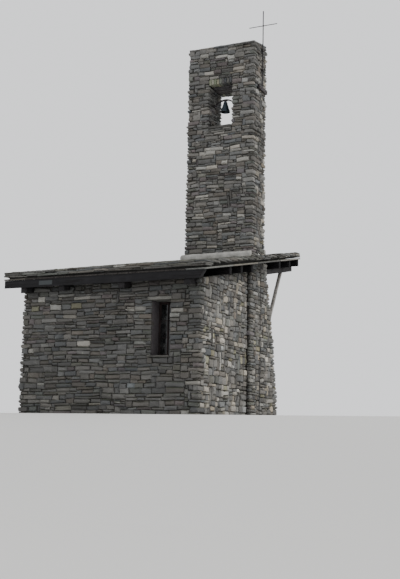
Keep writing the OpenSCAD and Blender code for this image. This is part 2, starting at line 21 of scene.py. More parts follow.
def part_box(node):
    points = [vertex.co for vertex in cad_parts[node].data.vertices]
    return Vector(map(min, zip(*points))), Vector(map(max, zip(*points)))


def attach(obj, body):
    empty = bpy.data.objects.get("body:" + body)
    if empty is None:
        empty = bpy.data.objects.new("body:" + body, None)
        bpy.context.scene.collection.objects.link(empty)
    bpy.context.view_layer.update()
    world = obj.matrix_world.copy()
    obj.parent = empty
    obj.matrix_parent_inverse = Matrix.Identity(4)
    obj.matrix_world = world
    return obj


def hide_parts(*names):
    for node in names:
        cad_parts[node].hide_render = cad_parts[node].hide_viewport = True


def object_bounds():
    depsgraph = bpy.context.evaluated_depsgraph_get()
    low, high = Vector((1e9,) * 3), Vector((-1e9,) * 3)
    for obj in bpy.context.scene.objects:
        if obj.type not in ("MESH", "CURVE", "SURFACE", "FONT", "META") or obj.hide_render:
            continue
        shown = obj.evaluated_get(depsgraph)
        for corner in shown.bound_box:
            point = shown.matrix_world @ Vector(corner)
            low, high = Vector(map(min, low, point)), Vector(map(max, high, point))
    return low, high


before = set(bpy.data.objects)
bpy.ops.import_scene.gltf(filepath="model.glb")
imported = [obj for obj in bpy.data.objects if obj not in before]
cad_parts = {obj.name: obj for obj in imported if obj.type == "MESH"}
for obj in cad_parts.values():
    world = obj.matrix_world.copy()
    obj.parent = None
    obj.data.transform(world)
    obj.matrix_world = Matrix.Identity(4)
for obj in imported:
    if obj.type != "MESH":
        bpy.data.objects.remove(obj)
CAD_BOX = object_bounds()

log = logging.getLogger("bell_tower")

Triple = tuple[float, float, float]
Colour = Triple
Plan = tuple[float, float]
Object = bpy.types.Object
Socket = bpy.types.NodeSocket
Fed = Socket | Colour | float | None

BUILDING = "building"
SWINGING = "bell_swing_body"
SEED = 4127
TINT = "stone_tint"
QUARTER_TURN = math.radians(90)


class Axis(Enum):
    """Direction of a timber's grain."""

    X = "along x"
    SLOPE = "up the roof"
    Z = "upright"


@dataclass(frozen=True)
class Site:
    """Main places of the building, read from the frame, and the roof's slope in radians.

    The deck is the thickness of the roof boards. The coping's rise is how far the tower's top falls
    from its rear to its front.
    """

    pitch: float = math.radians(12.1)
    deck: float = 0.05
    coping_rise: float = 0.2
    tower_low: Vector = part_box("tower_foot")[0]
    tower_high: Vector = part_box("tower_coping")[1]
    rear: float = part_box("tower_foot")[1].y
    opening_x0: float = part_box("bell_jamb_left")[1].x
    opening_x1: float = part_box("bell_jamb_right")[0].x
    sill_low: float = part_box("bell_sill")[0].z
    opening_top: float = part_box("bell_jamb_left")[1].z
    soldier_top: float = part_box("soldier_lintel")[1].z
    chapel_low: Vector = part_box("left_wall")[0]
    chapel_right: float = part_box("right_wall")[1].x
    room_left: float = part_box("left_wall")[1].x
    room_right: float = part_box("right_wall")[0].x
    room_front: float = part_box("front_wall_below")[1].y
    room_rear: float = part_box("rear_wall_left")[0].y
    roof_low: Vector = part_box("roof_slabs")[0]
    roof_high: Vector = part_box("roof_slabs")[1]

    @property
    def bell_centre(self) -> Vector:
        """Point on the swing axis midway between the bearings."""
        return sum(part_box("bell_bearings"), Vector()) / 2

    def roof(self, y: float) -> float:
        """Height of the top of the roof boards at a place up the slope."""
        return self.roof_low.z + math.tan(self.pitch) * (y - self.roof_low.y)

    def eaves(self, y: float) -> float:
        """Height of the underside of the roof boards at a place up the slope."""
        return self.roof(y) - self.deck


SITE = Site()


@dataclass(frozen=True)
class View:
    """The photo's camera: its eye, its angles in degrees, its focal length and size in pixels."""

    eye: Triple = (12.535, -28.41, -0.7)
    pitch: float = 8.93
    roll: float = 1.25
    yaw: float = -25.23
    focal: float = 969.0
    wide: int = 400
    tall: int = 579

    def turn(self) -> Matrix:
        """Turns the camera's three angles into a matrix.

        Returns:
            The rotation.
        """
        yaw, pitch, roll = (Matrix.Rotation(math.radians(angle), 4, axis) for angle, axis in (
            (-self.yaw, "Z"), (90 + self.pitch, "X"), (self.roll, "Z")))
        return yaw @ pitch @ roll

    def on_plane(self, u: float, v: float, axis: int, place: float) -> Vector:
        """Finds the point of a plane that the camera sees at a pixel.

        Args:
            u: Pixel across the photo.
            v: Pixel down the photo.
            axis: Axis across the plane.
            place: Place of the plane on that axis.

        Returns:
            The point.
        """
        eye = Vector(self.eye)
        ray = self.turn().to_3x3() @ Vector((u - self.wide / 2, self.tall / 2 - v, -self.focal))
        return eye + ray * ((place - eye[axis]) / ray[axis])


VIEW = View()


class Graph:
    """Node tree of one material, with short calls for the nodes that the finishes use."""

    def __init__(self, name: str) -> None:
        """Starts a material that holds only its shader.

        Args:
            name: Name of the material.
        """
        self.material = bpy.data.materials.new(name)
        self.material.use_nodes = True
        self.tree = self.material.node_tree
        self.tree.nodes.clear()
        self.shader = self.add("BsdfPrincipled", {})
        self.add("OutputMaterial", {"Surface": self.shader.outputs["BSDF"]})
        self.place = self.add("TexCoord", {}).outputs["Object"]

    def add(self, kind: str, inputs: dict[str | int, Fed], **settings: str) -> bpy.types.Node:
        """Adds a node.

        Args:
            kind: Blender's name of the node, without its common beginning.
            inputs: What goes into its sockets.
            settings: Its properties.

        Returns:
            The node.
        """
        node = self.tree.nodes.new("ShaderNode" + kind)
        for name, value in settings.items():
            setattr(node, name, value)
        for key, value in inputs.items():
            self.feed(node.inputs[key], value)
        return node

    def feed(self, target: Socket, value: Fed) -> None:
        """Links a socket to another, or sets it to a colour or a number.

        Args:
            target: The socket.
            value: What goes into it, or None to leave it.
        """
        if isinstance(value, bpy.types.NodeSocket):
            self.tree.links.new(value, target)
        elif value is not None:
            target.default_value = (*value, 1.0) if target.type == "RGBA" else value

    def settle(self, **values: Fed) -> None:
        """Sets the shader's sockets, named with underscores for spaces."""
        for name, value in values.items():
            self.feed(self.shader.inputs[name.replace("_", " ")], value)

    def mapped(self, stretch: Triple = (1, 1, 1), turn: Triple = (0, 0, 0)) -> Socket:
        """Object coordinates turned and then scaled along each axis."""
        turned = self.add("Mapping", {"Vector": self.place, "Rotation": turn})
        return self.add("Mapping", {"Vector": turned.outputs[0], "Scale": stretch}).outputs[0]

    def noise(self, scale: float, detail: float = 4, rough: float = 0.55,
              stretch: Triple = (1, 1, 1), turn: Triple = (0, 0, 0), twist: float = 0) -> Socket:
        """Cloudy noise from 0 to 1, whose scale is the number of clouds in a metre."""
        return self.add("TexNoise", {"Vector": self.mapped(stretch, turn), "Scale": scale, "Detail": detail,
                                     "Roughness": rough, "Distortion": twist}).outputs[0]

    def spread(self, value: Socket, low: float, high: float, to_low: float = 0.0,
               to_high: float = 1.0) -> Socket:
        """Stretches a value's range from low..high to another one, and clamps it."""
        return self.add("MapRange", {"Value": value, "From Min": low, "From Max": high, "To Min": to_low,
                                     "To Max": to_high}).outputs["Result"]

    def calc(self, operation: str, first: Fed, second: Fed) -> Socket:
        """One step of arithmetic, named as Blender names it."""
        return self.add("Math", {0: first, 1: second}, operation=operation).outputs[0]

    def times(self, first: Fed, second: Fed) -> Socket:
        """Product of two values."""
        return self.calc("MULTIPLY", first, second)

    def mix(self, share: Fed, first: Fed, second: Fed, blend: str = "MIX") -> Socket:
        """Mixes two colours by the share of the second, in one of Blender's ways."""
        inputs = {"Factor": share, 6: first, 7: second}
        return self.add("Mix", inputs, data_type="RGBA", blend_type=blend).outputs[2]

    def toned(self, colour: Fed, pattern: Socket, low: float, high: float) -> Socket:
        """Multiplies a colour with a grey from low to high that follows a pattern."""
        shades = dict.fromkeys(("Red", "Green", "Blue"), self.spread(pattern, 0.25, 0.75, low, high))
        return self.mix(1.0, colour, self.add("CombineColor", shades).outputs["Color"], "MULTIPLY")

    def upward(self, low: float, high: float) -> Socket:
        """Share from 0 to 1 of how far the surface faces up, between two heights of its normal."""
        split = self.add("SeparateXYZ", {0: self.add("NewGeometry", {}).outputs["Normal"]})
        return self.spread(split.outputs["Z"], low, high)

    def height(self) -> Socket:
        """Height over the ground."""
        return self.add("SeparateXYZ", {0: self.place}).outputs["Z"]

    def bump(self, height: Socket, distance: float, below: Socket | None = None) -> Socket:
        """Bumped normal from a pattern and its depth in metres, on the normal of a coarser one."""
        return self.add("Bump", {"Distance": distance, "Height": height, "Normal": below}).outputs["Normal"]


@dataclass(frozen=True)
class RubbleFinish:
    """Split stone whose own colour is in its mesh, layered, stained and spotted with lichen."""

    name: str = "rubble"
    lichen: Colour = (0.27, 0.28, 0.23)
    moss: Colour = (0.06, 0.07, 0.035)
    grain_depth: float = 0.006
    moss_share: float = 0.45

    def build(self) -> bpy.types.Material:
        """Makes the material.

        Returns:
            The material.
        """
        graph = Graph(self.name)
        layers = graph.noise(16, detail=6, rough=0.65, stretch=(1, 1, 4.5), twist=0.4)
        speckle = graph.noise(130, detail=3, rough=0.7)
        own = graph.add("Attribute", {}, attribute_name=TINT).outputs["Color"]
        colour = graph.toned(graph.toned(own, layers, 0.72, 1.28), speckle, 0.82, 1.18)
        colour = graph.toned(colour, graph.noise(2.6, detail=5, rough=0.6), 0.8, 1.14)
        spots = graph.times(graph.spread(graph.noise(9, detail=7, rough=0.7), 0.6, 0.68),
                            graph.spread(graph.noise(1.3), 0.42, 0.62))
        colour = graph.mix(graph.times(spots, 0.55), colour, self.lichen)
        colour = graph.mix(graph.times(graph.upward(0.45, 0.9), self.moss_share), colour, self.moss)
        normal = graph.bump(layers, self.grain_depth * 2.2, graph.bump(speckle, self.grain_depth * 0.35))
        graph.settle(Base_Color=colour, Roughness=graph.spread(layers, 0.2, 0.8, 0.82, 0.96),
                     Specular_IOR_Level=0.3, Normal=normal)
        return graph.material


@dataclass(frozen=True)
class MortarFinish:
    """Lime and earth mortar: gritty, stained and paler where it is thick."""

    name: str
    dark: Colour
    pale: Colour
    grit_depth: float = 0.004
    roughness: float = 0.95

    def build(self) -> bpy.types.Material:
        """Makes the material.

        Returns:
            The material.
        """
        graph = Graph(self.name)
        grit = graph.noise(95, detail=4, rough=0.7)
        lumps = graph.noise(14, detail=5, rough=0.6)
        patches = graph.spread(graph.noise(3.2, detail=6, rough=0.62), 0.3, 0.7)
        colour = graph.toned(graph.mix(patches, self.dark, self.pale), grit, 0.8, 1.2)
        normal = graph.bump(lumps, self.grit_depth * 3, graph.bump(grit, self.grit_depth))
        graph.settle(Base_Color=graph.toned(colour, lumps, 0.82, 1.12), Roughness=self.roughness,
                     Specular_IOR_Level=0.2, Normal=normal)
        return graph.material


@dataclass(frozen=True)
class SlabFinish:
    """Thick split slab: cleft face, rain stains, and moss and lichen on its upper face."""

    name: str
    base: Colour
    stain: Colour
    growth: Colour
    growth_share: float = 0.5

    def build(self) -> bpy.types.Material:
        """Makes the material.

        Returns:
            The material.
        """
        graph = Graph(self.name)
        cleft = graph.noise(5, detail=8, rough=0.6, stretch=(1, 1, 3), twist=0.6)
        speckle = graph.noise(150, detail=3, rough=0.75)
        stains = graph.spread(graph.noise(1.7, detail=6, rough=0.65), 0.35, 0.68)
        colour = graph.toned(graph.mix(stains, self.base, self.stain), cleft, 0.7, 1.25)
        colour = graph.toned(colour, speckle, 0.85, 1.15)
        patches = graph.spread(graph.noise(7, detail=8, rough=0.7), 0.42, 0.6)
        cover = graph.times(graph.upward(0.5, 0.95), patches)
        colour = graph.mix(graph.times(cover, self.growth_share), colour, self.growth)
        normal = graph.bump(cleft, 0.014, graph.bump(speckle, 0.002))
        graph.settle(Base_Color=colour, Roughness=0.9, Specular_IOR_Level=0.3, Normal=normal)
        return graph.material


@dataclass(frozen=True)
class TimberFinish:
    """Weathered wood with long grain, drying cracks and washed-out patches, and painted shade that turns it
    black over a height.
    """

    name: str
    heart: Colour
    worn: Colour
    grain: Axis
    worn_share: float = 0.5
    gloss: float = 0.25
    painted_shade_from: float = 99.0

    def build(self) -> bpy.types.Material:
        """Makes the material.

        Returns:
            The material.
        """
        graph = Graph(self.name)
        along = {Axis.X: (0.06, 1, 1), Axis.SLOPE: (1, 0.06, 1), Axis.Z: (1, 1, 0.06)}[self.grain]
        lie = {"stretch": along, "turn": (-SITE.pitch if self.grain is Axis.SLOPE else 0.0, 0.0, 0.0)}
        fibres = graph.noise(70, detail=5, rough=0.65, **lie)
        bands = graph.noise(16, detail=4, rough=0.5, twist=0.8, **lie)
        cracks = graph.spread(graph.noise(26, detail=2, rough=0.4, **lie), 0.60, 0.66)
        patches = graph.spread(graph.noise(2.4, detail=5, rough=0.6), 0.36, 0.66)
        colour = graph.mix(graph.times(patches, self.worn_share), self.heart, self.worn)
        colour = graph.toned(graph.toned(colour, fibres, 0.68, 1.3), bands, 0.75, 1.2)
        colour = graph.mix(graph.times(cracks, 0.8), colour, (0.006, 0.005, 0.005))
        # Painted shade: black above a height, for the shadow that the covering casts on the eave beam's top.
        painted_shade = graph.spread(graph.height(), self.painted_shade_from, self.painted_shade_from + 0.03)
        normal = graph.bump(bands, 0.006, graph.bump(fibres, 0.003))
        graph.settle(Base_Color=graph.mix(painted_shade, colour, (0.006, 0.006, 0.007)),
                     Roughness=graph.spread(fibres, 0.2, 0.8, 0.72, 0.92), Specular_IOR_Level=self.gloss,
                     Normal=graph.bump(graph.calc("SUBTRACT", 1.0, cracks), 0.006, normal))
        return graph.material


@dataclass(frozen=True)
class MetalFinish:
    """Metal outdoors: dulled skin, fine pits and streaks of bloom, which is rust or patina."""

    name: str
    base: Colour
    bloom: Colour
    bloom_share: float
    metallic: float = 0.6
    roughness: float = 0.5

    def build(self) -> bpy.types.Material:
        """Makes the material.

        Returns:
            The material.
        """
        graph = Graph(self.name)
        drips = graph.noise(22, detail=6, rough=0.65, stretch=(1, 1, 0.3))
        pits = graph.noise(160, detail=3, rough=0.7)
        bloom = graph.times(graph.spread(drips, 0.45, 0.66), self.bloom_share)
        colour = graph.mix(bloom, graph.toned(self.base, pits, 0.8, 1.2), self.bloom)
        normal = graph.bump(drips, 0.0012, graph.bump(pits, 0.0008))
        graph.settle(Base_Color=colour, Metallic=self.metallic, Normal=normal,
                     Roughness=graph.calc("ADD", self.roughness, graph.times(bloom, 0.4)))
        return graph.material


@dataclass(frozen=True)
class GlassFinish:
    """Old window glass, opaque and near-black as painted shade of the dark room behind it: slightly wavy,
    dusty at random.
    """

    name: str = "window_glass"
    # Near-black: painted shade of the room behind the opaque glass.
    tint: Colour = (0.008, 0.0085, 0.009)
    dust: Colour = (0.07, 0.07, 0.066)

    def build(self) -> bpy.types.Material:
        """Makes the material.

        Returns:
            The material.
        """
        graph = Graph(self.name)
        dust = graph.times(graph.spread(graph.noise(3, detail=3, rough=0.5), 0.4, 0.75), 0.35)
        waves = graph.bump(graph.noise(3, detail=0), 0.002)
        graph.settle(Base_Color=graph.mix(dust, self.tint, self.dust), IOR=1.5, Normal=waves,
                     Roughness=graph.spread(dust, 0.0, 0.35, 0.06, 0.5))
        return graph.material


@dataclass(frozen=True)
class FlagFinish:
    """Stone flags of a floor, laid in staggered rows with narrow sanded joints."""

    name: str = "floor_flags"
    stone: Colour = (0.16, 0.155, 0.145)
    other: Colour = (0.11, 0.11, 0.108)
    joint: Colour = (0.05, 0.046, 0.04)

    def build(self) -> bpy.types.Material:
        """Makes the material.

        Returns:
            The material.
        """
        graph = Graph(self.name)
        flags = graph.add("TexBrick", {
            "Vector": graph.mapped(), "Scale": 1.0, "Brick Width": 0.62, "Row Height": 0.41,
            "Mortar Size": 0.008, "Mortar Smooth": 0.3, "Color1": self.stone, "Color2": self.other,
            "Mortar": self.joint})
        wear = graph.noise(6, detail=7, rough=0.65)
        sunk = graph.calc("SUBTRACT", 1.0, flags.outputs["Fac"])
        graph.settle(Base_Color=graph.toned(flags.outputs["Color"], wear, 0.75, 1.2), Roughness=0.85,
                     Normal=graph.bump(sunk, 0.006, graph.bump(wear, 0.004)))
        return graph.material


Finish = RubbleFinish | MortarFinish | SlabFinish | TimberFinish | MetalFinish | GlassFinish | FlagFinish
FINISHES: tuple[Finish, ...] = (
    RubbleFinish(),
    MortarFinish("joint_mortar", dark=(0.028, 0.026, 0.024), pale=(0.085, 0.078, 0.07)),
    MortarFinish("collar_mortar", dark=(0.24, 0.235, 0.22), pale=(0.44, 0.43, 0.405)),
    MortarFinish("reveal_plaster", dark=(0.075, 0.066, 0.07), pale=(0.12, 0.108, 0.112)),
    MortarFinish("room_limewash", dark=(0.3, 0.29, 0.26), pale=(0.46, 0.45, 0.41), grit_depth=0.002),
    SlabFinish("dressed_slab", (0.24, 0.235, 0.22), (0.13, 0.13, 0.125), (0.09, 0.1, 0.06)),
    # Near-black bed of earth and chips under the slabs, darkened as painted shade of the gaps under them.
    SlabFinish("roof_bed", (0.022, 0.021, 0.019), (0.012, 0.012, 0.011), (0.03, 0.035, 0.02)),
    SlabFinish("lintel_slab", (0.17, 0.165, 0.15), (0.1, 0.1, 0.092), (0.09, 0.1, 0.06)),
    SlabFinish("dark_slab", (0.085, 0.082, 0.076), (0.05, 0.049, 0.046), (0.05, 0.055, 0.035)),
    TimberFinish("beam_timber", (0.006, 0.0058, 0.0065), (0.013, 0.0125, 0.014), Axis.X, gloss=0.12),
    # The eave beam's top is black as painted shadow under the covering slabs.
    TimberFinish("eave_timber", (0.009, 0.0085, 0.0095), (0.022, 0.021, 0.024), Axis.X, painted_shade_from=3.975),
    TimberFinish("rafter_timber", (0.012, 0.011, 0.012), (0.028, 0.026, 0.027), Axis.SLOPE),
    TimberFinish("board_timber", (0.03, 0.026, 0.024), (0.07, 0.064, 0.06), Axis.SLOPE),
    TimberFinish("strut_timber", (0.16, 0.15, 0.14), (0.34, 0.33, 0.31), Axis.Z, worn_share=0.85),
    TimberFinish("window_timber", (0.013, 0.0075, 0.0075), (0.04, 0.025, 0.024), Axis.Z, gloss=0.3),
    TimberFinish("door_timber", (0.045, 0.026, 0.016), (0.09, 0.06, 0.042), Axis.Z),
    MetalFinish("dark_iron", (0.03, 0.03, 0.033), (0.09, 0.045, 0.022), 0.45, roughness=0.55),
    MetalFinish("cross_iron", (0.035, 0.035, 0.038), (0.06, 0.036, 0.024), 0.35, roughness=0.55),
    MetalFinish("zinc", (0.045, 0.05, 0.053), (0.085, 0.092, 0.096), 0.5, roughness=0.55),
    MetalFinish("bronze", (0.028, 0.036, 0.05), (0.05, 0.1, 0.1), 0.5, metallic=0.75, roughness=0.42),
    GlassFinish(),
    FlagFinish(),
    RubbleFinish("roof_stone", lichen=(0.3, 0.31, 0.25), moss=(0.115, 0.125, 0.075), grain_depth=0.01,
                 moss_share=0.5),
)
PALETTE = {finish.name: finish.build() for finish in FINISHES}


def seeded(number: int) -> np.random.Generator:
    """Dataclass field that holds a numbered source of random numbers."""
    return field(default_factory=lambda: np.random.default_rng(SEED + number))


def only(*objects: Object) -> None:
    """Selects these objects alone and makes the first one active.

    Args:
        objects: The objects.
    """
    bpy.ops.object.select_all(action="DESELECT")
    for obj in objects:
        obj.select_set(True)
    bpy.context.view_layer.objects.active = objects[0]


def primitive(add: Callable, name: str, scale: Triple = (1, 1, 1), **settings: object) -> Object:
    """Adds a mesh primitive and applies its place, turn and scale to its mesh.

    Args:
        add: Blender's operator that adds it.
        name: Name of the new object.
        scale: Its scale along each axis.
        settings: What the operator is told.

    Returns:
        The object.
    """
    bpy.ops.object.select_all(action="DESELECT")
    add(**settings)
    obj = bpy.context.object
    obj.name, obj.scale = name, scale
    bpy.ops.object.transform_apply(location=True, rotation=True, scale=True)
    return obj


def box_between(name: str, low: Sequence[float], high: Sequence[float]) -> Object:
    """Adds a cube primitive that fills the space between its lowest and its highest corner."""
    centre, size = [(a + b) / 2 for a, b in zip(low, high)], [b - a for a, b in zip(low, high)]
    return primitive(bpy.ops.mesh.primitive_cube_add, name, size, size=1, location=centre)


@contextmanager
def editing(obj: Object, kind: str = "FACE") -> Iterator[bmesh.types.BMesh]:
    """Opens a mesh in edit mode with nothing selected.

    Args:
        obj: Object to edit.
        kind: Blender's name of what is selected: VERT, EDGE or FACE.

    Yields:
        The open mesh, to select by place or normal in.
    """
    only(obj)
    bpy.ops.object.mode_set(mode="EDIT")
    bpy.ops.mesh.select_mode(type=kind)
    bpy.ops.mesh.select_all(action="DESELECT")
    yield bmesh.from_edit_mesh(obj.data)
    bpy.ops.object.mode_set(mode="OBJECT")


def pick(obj: Object, parts: Sequence, test: Callable[..., bool]) -> int:
    """Selects those vertices, edges or faces of an open mesh that pass a test.

    Args:
        obj: Object in edit mode.
        parts: The open mesh's verts, edges or faces.
        test: Says whether one of them is wanted.

    Returns:
        How many are selected.
    """
    found = [part for part in parts if test(part)]
    for part in found:
        part.select_set(True)
    bmesh.update_edit_mesh(obj.data)
    return len(found)


def step_along(axis: int, length: float) -> list[float]:
    """Step of a length along one axis."""
    return [length if k == axis else 0 for k in range(3)]


def shift(obj: Object, test: Callable[[Vector], bool], step: Sequence[float]) -> None:
    """Moves some points of a mesh.

    Args:
        obj: The object.
        test: Says whether the point at a place moves.
        step: How far it moves along each axis.
    """
    with editing(obj, "VERT") as mesh:
        pick(obj, mesh.verts, lambda vertex: test(vertex.co))
        bpy.ops.transform.translate(value=step)


def modify(obj: Object, kind: str, **settings: object) -> Object:
    """Adds a modifier, sets it and applies it.

    Args:
        obj: The object.
        kind: Blender's name of the modifier.
        settings: Its properties.

    Returns:
        The same object.
    """
    only(obj)
    modifier = obj.modifiers.new(kind.lower(), kind)
    for name, value in settings.items():
        setattr(modifier, name, value)
    bpy.ops.object.modifier_apply(modifier=modifier.name)
    return obj


def roughened(obj: Object, depth: float, grain: float) -> Object:
    """Moves the skin of a finely divided mesh in and out with soft clouds.

    Args:
        obj: The object.
        depth: Total depth of the relief.
        grain: Size of one cloud.

    Returns:
        The same object.
    """
    clouds = bpy.data.textures.new(obj.name, "CLOUDS")
    clouds.noise_scale, clouds.noise_depth = grain, 2
    return modify(obj, "DISPLACE", texture=clouds, texture_coords="LOCAL", strength=depth, mid_level=0.5)


def bevelled(obj: Object, width: float, segments: int = 1, angle: float = 40) -> Object:
    """Bevels the edges that turn by more than an angle in degrees."""
    return modify(obj, "BEVEL", width=width, segments=segments, limit_method="ANGLE",
                  angle_limit=math.radians(angle), use_clamp_overlap=True)


def worn_box(name: str, low: Sequence[float], high: Sequence[float], worn: float,
             segments: int = 1) -> Object:
    """Box between its lowest and its highest corner, with worn edges of a width."""
    return bevelled(box_between(name, low, high), worn, segments)


def linked(name: str, data: bpy.types.ID) -> Object:
    """Makes an object of a mesh or a camera and puts it into the scene.

    Args:
        name: Name of the new object.
        data: Its mesh or camera.

    Returns:
        The object.
    """
    obj = bpy.data.objects.new(name, data)
    bpy.context.scene.collection.objects.link(obj)
    return obj


def cast(node: str, name: str, pierced: bool = False) -> Object:
    """Copies a CAD node's mesh into a new object and cleans its loose triangles.

    Args:
        node: Name of the CAD node.
        name: Name of the new object.
        pierced: Whether flat faces have holes, so that their triangles have to stay.

    Returns:
        The new object, with merged corners and flat faces.
    """
    obj = linked(name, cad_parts[node].data.copy())
    obj.data.materials.clear()
    with editing(obj):
        bpy.ops.mesh.select_all(action="SELECT")
        bpy.ops.mesh.remove_doubles(threshold=0.00002)
        if not pierced:
            bpy.ops.mesh.dissolve_limited(angle_limit=math.radians(0.6))
        bpy.ops.mesh.customdata_custom_splitnormals_clear()
    only(obj)
    bpy.ops.object.shade_flat()
    return obj


def cut_long_edges(obj: Object, longest: float, cuts: int) -> Object:
    """Splits every edge that is longer than a length into equal parts.

    Args:
        obj: The object.
        longest: The length.
        cuts: Number of cuts in an edge.

    Returns:
        The same object.
    """
    with editing(obj, "EDGE") as mesh:
        if pick(obj, mesh.edges, lambda edge: edge.calc_length() > longest):
            bpy.ops.mesh.subdivide(number_cuts=cuts)
    return obj


def joined(name: str, objects: Sequence[Object]) -> Object:
    """Joins objects into the first of them and names it.

    Args:
        name: Name of the joined object.
        objects: The objects.

    Returns:
        The joined object.
    """
    only(*objects)
    if len(objects) > 1:
        bpy.ops.object.join()
    objects[0].name = name
    return objects[0]


def repeated(obj: Object, places: Sequence[Sequence[float]], name: str) -> Object:
    """Copies a piece that was modelled once and joins the copies.

    Args:
        obj: The piece, which is used up.
        places: How far each copy stands from it.
        name: Name of the joined piece.

    Returns:
        The joined piece.
    """
    copies = [linked(name, obj.data.copy()) for _ in places]
    for copy, place in zip(copies, places):
        copy.data.transform(Matrix.Translation(place))
    bpy.data.objects.remove(obj)
    return joined(name, copies)


def bolt_heads(places: Sequence[Sequence[float]], radius: float, depth: float, worn: float,
               lying: bool = True) -> Object:
    """Models the six-sided head of a bolt or a nut and copies it.

    Args:
        places: Middles of the heads.
        radius: Radius of a head.
        depth: Its thickness.
        worn: Width of its worn edges.
        lying: Whether its axis runs along x and not up.

    Returns:
        The joined heads.
    """
    head = primitive(bpy.ops.mesh.primitive_cylinder_add, "bolt", vertices=6, radius=radius, depth=depth,
                     rotation=(0, QUARTER_TURN if lying else 0, 0))
    return repeated(bevelled(head, worn), places, "bolts")


def dress(obj: Object, finish: str, body: str = BUILDING,
          replaces: Sequence[str] = (), smooth: float = 0) -> None:
    """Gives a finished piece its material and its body.

    Args:
        obj: The finished piece.
        finish: Name of its finish in the palette.
        body: Body that it moves with.
        replaces: CAD nodes that it stands for.
        smooth: Angle in degrees under which edges are shaded smooth, or 0 for flat faces.
    """
    if not obj.data.materials:
        obj.data.materials.append(PALETTE[finish])
    if smooth:
        only(obj)
        bpy.ops.object.shade_smooth_by_angle(angle=math.radians(smooth))
    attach(obj, body)
    if replaces:
        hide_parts(*replaces)
    log.info("%s: %d faces on %s", obj.name, len(obj.data.polygons), body)


def dress_node(node: str, finish: str) -> None:
    """Gives a CAD node that stays in view its finish.

    Args:
        node: Name of the node.
        finish: Name of the finish in the palette.
    """
    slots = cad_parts[node].material_slots
    if not slots:
        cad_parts[node].data.materials.append(PALETTE[finish])
    for entry in slots:
        entry.material = PALETTE[finish]
    log.info("%s: frame node in %s", node, finish)


class BlockTemplate:
    """One block modelled in a unit cube, which is then warped to the shape of each copy.

    Across the block runs x, into the wall y and up z. Everything within EDGE of the cube's faces
    keeps the copy's own rim widths, and what stands out of the cube keeps the copy's own bulge.
    """

    EDGE = 0.1

    def __init__(self, obj: Object, slack: float = 0.0) -> None:
        """Reads the modelled mesh and removes its object.

        Args:
            obj: Block that fills the unit cube.
            slack: How far the points in its middle may lie off it in a copy.
        """
        mesh = obj.data
        self.points = np.array([v.co for v in mesh.vertices], float)
        self.faces = [tuple(face.vertices) for face in mesh.polygons]
        columns = np.round(self.points[:, :2], 3)
        _, self.column = np.unique(columns, axis=0, return_inverse=True)
        self.column = self.column.ravel()
        self.slack = slack * (abs(self.points - 0.5) < 0.1).any(axis=1)[:, None]
        bpy.data.objects.remove(obj)

    @classmethod
    def stone(cls, *shown: tuple[int, float]) -> "BlockTemplate":
        """Models a split stone, whose shown faces are broken in four and have worn rims.

        Args:
            shown: Axis and place of each face of the unit cube that shows.

        Returns:
            The template.
        """
        obj = box_between("stone_block", (0, 0, 0), (1, 1, 1))

        def lies(edge: bmesh.types.BMEdge, axis: int, place: float) -> bool:
            """Whether an edge lies in a plane."""
            return all(abs(vertex.co[axis] - place) < 0.001 for vertex in edge.verts)

        with editing(obj, "EDGE") as mesh:
            pick(obj, mesh.edges, lambda edge: any(lies(edge, *face) for face in shown))
            bpy.ops.mesh.subdivide(number_cuts=1)
        with editing(obj, "EDGE") as mesh:
            pick(obj, mesh.edges, lambda edge: any(lies(edge, axis, place) and any(
                lies(edge, other, side) for other in range(3) if other != axis for side in (0, 1))
                for axis, place in shown))
            bpy.ops.mesh.bevel(offset=cls.EDGE, segments=1, affect="EDGES")
        for axis, place in shown:
            outward = cls.EDGE if place else -cls.EDGE
            shift(obj, lambda spot: abs(spot[axis] - place) < 0.001 and all(
                abs(spot[k] - 0.5) < 0.01 for k in range(3) if k != axis), step_along(axis, outward))
        return cls(obj, slack=0.17)

    @classmethod
    def plank(cls) -> "BlockTemplate":
        """Models a sawn board with worn edges.

        Returns:
            The template.
        """
        obj = box_between("plank_block", (0, 0, 0), (1, 1, 1))
        with editing(obj, "EDGE"):
            bpy.ops.mesh.select_all(action="SELECT")
            bpy.ops.mesh.bevel(offset=cls.EDGE, segments=1, affect="EDGES")
        return cls(obj)

    @classmethod
    def slab(cls, across: int, deep: int) -> "BlockTemplate":
        """Models a split slab: a grid with a thickness, whose rim can be broken off unevenly.

        Args:
            across: Number of cells along x.
            deep: Number of cells along y.

        Returns:
            The template.
        """
        obj = primitive(bpy.ops.mesh.primitive_grid_add, "slab_block", x_subdivisions=across,
                        y_subdivisions=deep, size=1, location=(0.5, 0.5, 0))
        with editing(obj):
            bpy.ops.mesh.select_all(action="SELECT")
            bpy.ops.mesh.extrude_region_move(TRANSFORM_OT_translate={"value": (0, 0, 1)})
            bpy.ops.mesh.select_all(action="SELECT")
            bpy.ops.mesh.normals_make_consistent(inside=False)
        return cls(obj)


# Faces of the template's unit cube: the axis across each and its place on that axis.
FRONT = (1, 0.0)
FAR_SIDE = (0, 1.0)


